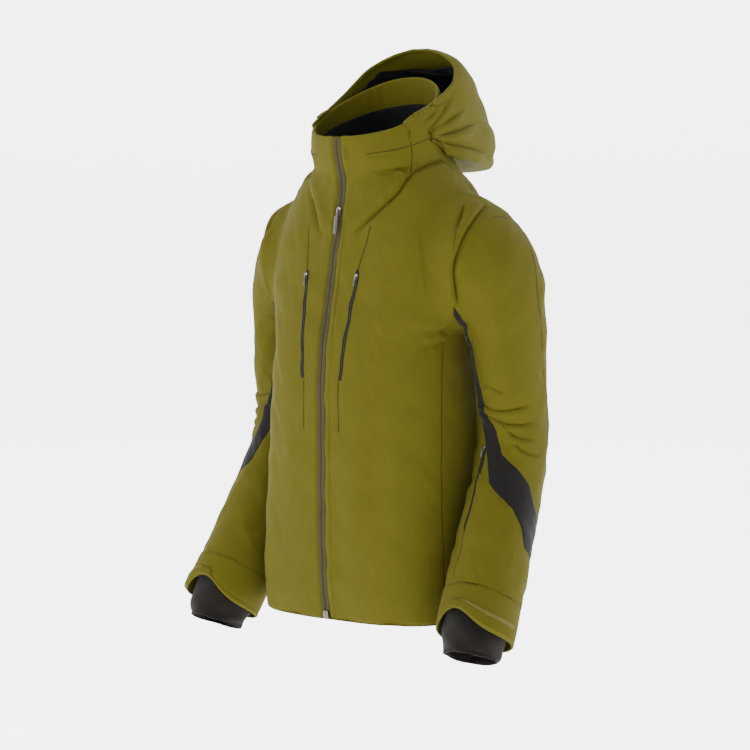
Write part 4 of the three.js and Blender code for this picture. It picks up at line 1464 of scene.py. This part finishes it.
stitch = {"Pitch": 0.0036, "Length": 0.0027, "Width": 0.0006, "Height": 0.0005, "Wander": 0.06, "Seed": 3}
tooth = {"Pitch": 0.0017, "Length": 0.0011, "Width": 0.0042, "Height": 0.0018, "Wander": 0.0, "Seed": 5}

# Sliders and pulls

def extruded(name, outline, depth, bevel, material, matrix, hole=None):
    # outline in millimetres across and up, standing out by its depth
    work = bmesh.new()
    rings = [outline] + ([hole] if hole else [])
    edges = []
    for ring in rings:
        verts = [work.verts.new((x, y, 0)) for x, y in ring]
        edges += [work.edges.new((verts[k], verts[(k + 1) % len(verts)])) for k in range(len(verts))]
    if hole:
        bmesh.ops.triangle_fill(work, use_beauty=True, use_dissolve=False, edges=edges)
    else:
        work.faces.new(work.verts)
    faces = work.faces[:]
    grown = bmesh.ops.extrude_face_region(work, geom=faces)
    top = [item for item in grown["geom"] if isinstance(item, bmesh.types.BMVert)]
    bmesh.ops.translate(work, verts=top, vec=(0, 0, depth))
    bmesh.ops.recalc_face_normals(work, faces=work.faces)
    points = np.array([tuple(v.co) for v in work.verts])
    work.verts.index_update()
    faces = [[v.index for v in face.verts] for face in work.faces]
    work.free()
    origin, axes = matrix
    placed = np.asarray(origin) + points @ np.asarray(axes)
    piece = addPiece(name, placed, faces, material)
    softer = piece.modifiers.new("bevel", "BEVEL")
    softer.width = bevel / 1000
    softer.segments = 3
    softer.limit_method = "ANGLE"
    settle(piece)
    for face in piece.data.polygons:
        face.use_smooth = True
    return piece


def roundedOutline(width, height, corner, steps=6):
    points = []
    for cx, cy, start in ((1, 1, 0), (-1, 1, 90), (-1, -1, 180), (1, -1, 270)):
        for k in range(steps + 1):
            a = math.radians(start + 90 * k / steps)
            points.append((cx * (width / 2 - corner) + corner * math.cos(a),
                           cy * (height / 2 - corner) + corner * math.sin(a)))
    return points


def sliderOutline(width, height):
    shape = [(0.5, 0.28), (0.42, 0.44), (0.2, 0.5), (-0.2, 0.5), (-0.42, 0.44), (-0.5, 0.28), (-0.46, -0.05),
             (-0.36, -0.4), (-0.22, -0.5), (0.22, -0.5), (0.36, -0.4), (0.46, -0.05)]
    return [(x * width, y * height) for x, y in shape]


def nodeMiddle(node):
    low, high = np.array(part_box(node))
    return ((low + high) / 2 - toFrame([0, 0, 0])) * 1000


def localAxes(up, outward):
    up = np.asarray(up, float) / np.linalg.norm(up)
    outward = outward - up * np.dot(outward, up)
    outward = outward / np.linalg.norm(outward)
    return np.array([np.cross(up, outward), up, outward])


def arch(name, width, height, length, wire, material, matrix):
    # the bridge on a slider: a band that leaves its back end, rises and comes down at the front
    along = np.linspace(-length / 2, length / 2, 15)
    rise = height * np.clip(1 - (2 * along / length) ** 4, 0, 1)
    section = [(width / 2 * math.cos(a), wire * math.sin(a)) for a in np.linspace(0, 2 * math.pi, 12, endpoint=False)]
    points = []
    for y, z in zip(along, rise):
        points += [(x, y, z + dz) for x, dz in section]
    origin, axes = matrix
    placed = np.asarray(origin) + np.array(points) @ np.asarray(axes)
    faces = [list(face) for face in gridFaces(15, 12, True)]
    faces += [list(range(12))[::-1], list(range(14 * 12, 15 * 12))]
    return addPiece(name, placed, faces, material)


def joined(name, pieces):
    # one object from several finished ones
    work = bmesh.new()
    materials = []
    for piece in pieces:
        first = len(work.faces)
        slots = []
        for material in piece.data.materials:
            if material not in materials:
                materials.append(material)
            slots.append(materials.index(material))
        work.from_mesh(piece.data)
        work.faces.ensure_lookup_table()
        for face in work.faces[first:]:
            face.material_index = slots[face.material_index] if slots else 0
    mesh = bpy.data.meshes.new(name)
    work.to_mesh(mesh)
    work.free()
    for material in materials:
        mesh.materials.append(material)
    for piece in pieces:
        bpy.data.objects.remove(piece)
    whole = bpy.data.objects.new(name, mesh)
    bpy.context.scene.collection.objects.link(whole)
    return whole


def seamShadows(name, skin, paths, side=1):
    # painted shade: a dark strip laid along each seam where the groove's shadow falls
    lines = [ribbon(name + str(number), skin, path, [(-0.8, 0.12), (0, 0.22), (0.8, 0.12)], finish["seam"],
                    step=2.0, taper=0.02, side=side) for number, path in enumerate(paths)]
    return joined(name, lines)


def wearsBody(piece, body, slot, *nodes):
    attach(piece, body)
    if nodes:
        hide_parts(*nodes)


def wearsArm(piece, side, slot, *nodes):
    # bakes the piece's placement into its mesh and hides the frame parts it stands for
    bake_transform(piece)
    if nodes:
        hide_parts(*nodes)


bodyShell, leftSleeve, rightSleeve = buildShell()
print("shell made", len(bodyShell.data.polygons), len(leftSleeve.data.polygons))
bodySkin = Skin(bodyShell)
wearsBody(bodyShell, "jacket_body", "shell_fabric", "front_panel_left", "front_panel_right", "side_panel_left",
          "side_panel_right", "back_panel", "front_yoke_left", "front_yoke_right", "back_yoke", "collar_left",
          "collar_right", "collar_facing")
collarFleece = buildFleece()
wearsBody(collarFleece, "jacket_body", "fleece", "collar_fleece")
hoodShell = buildHoodShell()
hoodLining = buildHoodLining()
hoodSkin = Skin(hoodShell)
# the hood's side seams get painted shade strips along their grooves
for piece, slot, nodes in ((hoodShell, "shell_fabric", ("hood_side_left", "hood_side_right", "hood_centre")),
                           (hoodLining, "lining_fabric", ("hood_lining",)),
                           (seamShadows("hoodSeamShade", hoodSkin, [hoodSeamPath(), mirrorX(hoodSeamPath())]),
                            "shell_fabric", ())):
    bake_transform(piece)
    if nodes:
        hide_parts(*nodes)
print("collar and hood made")

bodyLining = buildBodyLining()
wearsBody(bodyLining, "jacket_body", "lining_fabric", "body_lining", "yoke_lining")
skirt = buildPowderSkirt()
wearsBody(skirt, "jacket_body", "lining_fabric", "powder_skirt")
chinGuard = buildChinGuard()
wearsBody(chinGuard, "jacket_body", "fleece", "chin_guard")

# Main zip: two woven tapes, a coil between them, a slider with a pull, and a foot

mainZip = {"rise": 3.2, "depth": -1.3, "foot": 16, "collarTop": 0.985}


def zipPath(low, high):
    heights = np.linspace(low, 704, 120)
    path = [(0, float(torsoFront(z)), z) for z in heights]
    for share in np.linspace(0.08, high, 20):
        path.append(tuple(collarRing(np.array(-math.pi / 2), np.array(share))))
    return np.array(path)


def zipLines():
    path = resample(zipPath(mainZip["foot"], mainZip["collarTop"]), 3.0)
    hits = bodySkin.onto(path + np.array([0, -4.0, 0]))[0]
    path = smoothRows(np.stack([0 * hits[:, 0], hits[:, 1], hits[:, 2]], axis=-1), 12)
    along = np.gradient(path, axis=0)
    along /= np.linalg.norm(along, axis=1, keepdims=True)
    outward = np.cross(np.array([1.0, 0, 0]), along)
    outward = smoothRows(outward, 12)
    return path + outward * mainZip["rise"], outward


path, outward = zipLines()
tapes = []
for side in (1, -1):
    profile = [(0.7, -2.6), (0.7, -0.5), (1.2, 0.1), (3.6, 0.35), (6.2, 0.2), (7.4, 0.0), (8.8, -1.2), (9.2, -2.8)]
    grid = np.stack([path + np.array([side * across, 0, 0]) + outward * (mainZip["depth"] + height)
                     for across, height in profile], axis=1)
    faces = gridFaces(len(path), len(profile))
    if side > 0:
        faces = faces[:, ::-1]
    flat = np.stack(np.meshgrid(np.linspace(0, 0.008, len(profile)), np.arange(len(path)) * 0.003), axis=-1)
    tapes.append(addPiece("zipTape" + sideWord(side), grid.reshape(-1, 3), faces[:, ::-1], finish["tape"],
                          flat.reshape(-1, 2)))
for side, piece in zip((1, -1), tapes):
    wearsBody(piece, "jacket_body", "zip_tape", "main_zip_tape_" + ("left" if side > 0 else "right"))
coil = alongLines("zipCoil", [(path + outward * (mainZip["depth"] - 0.5), outward)], finish["tape"], tooth)
wearsBody(coil, "jacket_body", "zip_tape", "main_zip_chain")

sliderAt = nodeMiddle("main_zip_slider")
near = int(np.argmin(abs(path[:, 2] - sliderAt[2])))
mainAxes = localAxes(path[near + 2] - path[near - 2], outward[near])
sliderBase = np.array([0, path[near, 1], sliderAt[2]]) + mainAxes[2] * -0.4
plate = extruded("plate", sliderOutline(9.6, 13.5), 2.2, 0.6, finish["metal"], (sliderBase, mainAxes))
crown = extruded("crown", sliderOutline(7.4, 10.5), 1.2, 0.5, finish["metal"],
                 (sliderBase + mainAxes[2] * 2.0, mainAxes))
bridge = arch("bridge", 3.2, 2.4, 8.5, 0.6, finish["metal"], (sliderBase + mainAxes[2] * 3.0, mainAxes))
wearsBody(joined("mainSlider", [plate, crown, bridge]), "main_slider", "zip_metal", "main_zip_slider")
pullTop = sliderBase + mainAxes[2] * 4.6 - mainAxes[1] * 0.5
mainAxes = localAxes(path[near] + outward[near] * 3 - path[near - 11] - outward[near - 11] * 3, outward[near - 4])
link = extruded("link", roundedOutline(4.4, 11, 2), 0.9, 0.35, finish["metal"],
                (pullTop - mainAxes[1] * 4.5, mainAxes), roundedOutline(2.4, 8.4, 1.1))
tag = extruded("tag", roundedOutline(7.6, 30, 2.8), 2.6, 0.9, finish["pull"],
               (pullTop - mainAxes[1] * 22 - mainAxes[2] * 0.7, mainAxes))
ridge = extruded("ridge", roundedOutline(3.6, 20, 1.7), 0.8, 0.35, finish["pull"],
                 (pullTop - mainAxes[1] * 22 + mainAxes[2] * 1.7, mainAxes))
wearsBody(joined("mainPull", [link, tag, ridge]), "main_pull", "soft_pull", "main_zip_pull")
footAt = np.array([0, path[0, 1] + 0.6, 10.5])
footAxes = localAxes(path[2] - path[0], outward[0])
box = extruded("box", roundedOutline(10.4, 12.5, 1.4), 3.4, 0.7, finish["metal"],
               (footAt - footAxes[2] * 2.4, footAxes))
pin = extruded("pin", roundedOutline(2.2, 8, 1.0), 1.0, 0.35, finish["metal"],
               (footAt + footAxes[2] * 0.8 + footAxes[1] * 1.5, footAxes))
wearsBody(joined("zipFoot", [box, pin]), "jacket_body", "zip_metal", "main_zip_foot")
print("main zip made")

# Chest pockets

chest = {"top": (52, -161, 560), "middle": (46, -184, 470), "foot": (38, -192, 386)}
coatedProfile = [(-3.6, -0.4), (-3.0, 0.4), (-2.2, 0.8), (-0.8, 0.7), (-0.25, -0.1), (0.25, -0.1), (0.8, 0.7),
                 (2.2, 0.8), (3.0, 0.4), (3.6, -0.4)]


smallPull = 15


def smallSlider(name, middle, up, outward, node):
    axes = localAxes(up, outward)
    plate = extruded("plate", sliderOutline(6.2, 9.5), 1.6, 0.4, finish["metal"], (middle, axes))
    bridge = arch("bridge", 2.2, 1.6, 6.0, 0.5, finish["metal"], (middle + axes[2] * 1.4, axes))
    hang = middle + axes[2] * 2.4 - axes[1] * (smallPull / 2 - 0.5)
    tag = extruded("tag", roundedOutline(3.4, smallPull, 1.6), 1.3, 0.45, finish["metal"], (hang, axes),
                   roundedOutline(1.4, smallPull - 3.4, 0.65))
    wearsBody(joined(name, [plate, bridge, tag]), node, "zip_metal", node)


for side in (1, -1):
    word = "left" if side > 0 else "right"
    path = [chest["top"], chest["middle"], chest["foot"]]
    zipFilm = ribbon("chestZip" + sideWord(side), bodySkin, path, coatedProfile, finish["coated"], taper=0.015,
                     side=side)
    wearsBody(zipFilm, "jacket_body", "sealed_zip", "chest_zip_" + word)
    at = nodeMiddle("chest_slider_" + word)
    spot, normal = bodySkin.onto(at)
    up = bothSides(np.subtract(chest["top"], chest["middle"]).astype(float), side)
    smallSlider("chestSlider" + sideWord(side), spot + normal * 1.4, up, normal, "chest_slider_" + word)
    bag = buildPocketBag(side)
    wearsBody(bag, "jacket_body", "lining_fabric", "chest_pocket_bag_" + word)

# Sleeves and everything on them

sleevePieces = {
    "pocket": [((8.15, -103), (8.15, -103)), ((8.25, -101), (8.35, -84)), ((8.8, -102), (8.95, -44)),
               ((9.6, -106), (9.6, -18)), ((10.4, -108), (10.3, -8)), ((10.86, -108), (11.02, -8))],
    "hookPatch": (1.16, 1.66, -84, 12), "strap": (1.36, 1.93, -104, 14),
    "forearmZip": [(7.35, -102), (8.1, -102), (8.9, -103), (9.5, -106)],
    "pitZip": [(2.9, -147), (4.2, -152), (5.4, -147), (6.3, -140)],
}
flapGrid = {"rows": 26, "columns": 80}
stitched = {"jacket_body": [], "arm_left": [], "arm_right": []}


def buildFlap(name, lift, material, side):
    # laid on the cuff, with a rounded tip and its rim tucked in
    low, high, front, rear = sleevePieces[name]
    rows, columns = flapGrid["rows"], flapGrid["columns"]
    place, angle = np.meshgrid(np.linspace(high, low, rows), np.linspace(front, rear, columns), indexing="ij")
    tip = np.clip((angle - front) / 14, 0, 1)
    middle = (low + high) / 2
    place = notched(cuff, middle + (place - middle) * (0.62 + 0.38 * np.sin(tip * math.pi / 2)), angle)
    points = tubePoint(cuff["rings"], place, angle)
    centre = (points + tubePoint(cuff["rings"], place, angle + 180)) / 2
    out = (points - centre) / np.linalg.norm(points - centre, axis=-1, keepdims=True)
    row, column, inward = rimSteps(rows, columns)
    points = points + out * np.interp(inward, [0, 1, 2, 4], [-1.0, lift * 0.7, lift, lift])[..., None]
    flat = np.stack([column * 0.0012, row * 0.0008], axis=-1).reshape(-1, 2)
    return addSidePiece(name, points, gridFaces(rows, columns), material, flat, side)


for side in (1, -1):
    word = "left" if side > 0 else "right"
    body = "arm_" + word
    sleeve = leftSleeve if side > 0 else rightSleeve
    sleeveSkin = Skin(sleeve)
    wearsArm(sleeve, side, "shell_fabric", "sleeve_" + word)
    sleeveLining = buildSleeveLining(side)
    wearsArm(sleeveLining, side, "lining_fabric", "sleeve_lining_" + word)
    place, angle = edgeToEdge(stretchEdges, 240, 26)
    panel = overlay("stretchPanel" + sideWord(side), sleeveSkin, outsideArm(place, angle), 0.9, finish["stretch"],
                    side)
    wearsArm(panel, side, "stretch_fabric", "underarm_strip_" + word, "elbow_patch_" + word)
    cuffTube = buildTube("cuff", cuff, side, "shell", cuffShape)
    wearsBody(cuffTube, body, "shell_fabric", "cuff_" + word)
    gaiterTube = buildTube("gaiter", gaiter, side, "rib", gaiterShape)
    wearsBody(gaiterTube, body, "knit_rib", "wrist_gaiter_" + word)
    for name, lift, material, slot, node, rider in (
            ("hookPatch", 1.8, "hook", "hook_fabric", "cuff_hook_patch_" + word, body),
            ("strap", 3.4, "shell", "shell_fabric", "cuff_tab_" + word, "cuff_tab_" + word)):
        flap = buildFlap(name, lift, finish[material], side)
        wearsBody(flap, rider, slot, node)
    pit = armPath(sleevePieces["pitZip"])
    film = ribbon("pitZip" + sideWord(side), sleeveSkin, pit, coatedProfile, finish["coated"], taper=0.02, side=side)
    wearsBody(film, body, "sealed_zip", "pit_zip_" + word)
    spot, normal = sleeveSkin.onto(bothSides(pit[0] * 0.9 + pit[1] * 0.1, side))
    smallSlider("pitSlider" + sideWord(side), spot + normal * 0.6, bothSides(pit[0] - pit[1], side), normal,
                "pit_slider_" + word)
    if side > 0:
        place, angle = edgeToEdge(sleevePieces["pocket"], 90, 60)
        pocket = overlay("forearmPocket", sleeveSkin, outsideArm(place, angle), 0.9, finish["shell"], side)
        wearsBody(pocket, body, "shell_fabric", "forearm_pocket")
        line = armPath(sleevePieces["forearmZip"])
        film = ribbon("forearmZip", sleeveSkin, line, coatedProfile, finish["coated"], taper=0.02)
        wearsBody(film, body, "sealed_zip", "forearm_zip")
        spot, normal = sleeveSkin.onto(line[0] * 0.9 + line[1] * 0.1)
        smallSlider("forearmSlider", spot + normal * 2.0, line[0] - line[1], normal, "forearm_slider")
    for seam in ("cap", "back"):
        dense = rounded(armSeams[seam])
        dense = dense[dense[:, 0] > 1.4]
        points = armPath(dense)
        stitched[body].append(seamLine(sleeveSkin, points, 1.9, side=side))
    # painted shade: dark strips along the sleeve seams, the outer elbow seam and, on the left sleeve, the pocket's edge
    paths = [armPath(seam) for seam in armSeams.values()] + [armPath(outerElbowSeam)]
    if side > 0:
        front, back = zip(*sleevePieces["pocket"])
        paths.append(armPath([*front[2:], (10.95, -60), back[-1]]))
    wearsArm(seamShadows("seams" + sideWord(side), sleeveSkin, paths, side), side, "shell_fabric")
print("sleeves made")

# Hanger loop

loop = {"half": 34, "width": 6, "bow": 12, "thick": 1.2, "rows": 41, "columns": 5}
turns = np.linspace(-1, 1, loop["rows"])
shifts = np.linspace(-loop["width"] / 2, loop["width"] / 2, loop["columns"])
loopLine = np.stack([turns * loop["half"], 52 + 10 * turns ** 2, 746 - 14 * turns ** 2 + loop["bow"] / 2], axis=-1)
loopGrid = np.stack([loopLine + np.array([0, 0, shift]) for shift in shifts], axis=1)
flat = np.stack(np.meshgrid(np.linspace(0, 0.006, loop["columns"]), np.linspace(0, 0.07, loop["rows"])), axis=-1)
hanger = addPiece("hangerLoop", loopGrid.reshape(-1, 3), gridFaces(loop["rows"], loop["columns"]), finish["lining"],
                  flat.reshape(-1, 2))
wearsBody(thicken(hanger, loop["thick"]), "jacket_body", "lining_fabric", "hanger_loop")

# Stitching on the body

hole = {"Pitch": 0.0031, "Length": 0.0014, "Width": 0.0014, "Height": 0.0004, "Wander": 0.0, "Seed": 2}
# painted shade: dark strips along the body and collar seams, with the placket left out
bodySeamPaths = [path for name, path in onBothSides(bodySeams).items() if not name.startswith("placket")]
bodySeamPaths += list(onBothSides(collarSeams).values())
wearsBody(seamShadows("seamShadeBody", bodySkin, bodySeamPaths), "jacket_body", "shell_fabric")
holeLines = [seamLine(bodySkin, [(across, -146, z) for z in np.linspace(752, 734, 7)], lift=0.1)
             for across in (15, 18.5, 22)]
wearsBody(alongLines("perforations", holeLines, finish["stretch"], hole), "jacket_body", "shell_fabric")
for name, seam in onBothSides(bodySeams).items():
    stitched["jacket_body"].append(seamLine(bodySkin, seam, 2.0 if name.endswith("Left") else -2.0))
for body, lines in stitched.items():
    wearsBody(alongLines("stitches_" + body, lines, finish["thread"], stitch), body, "shell_fabric")
print("stitching made")
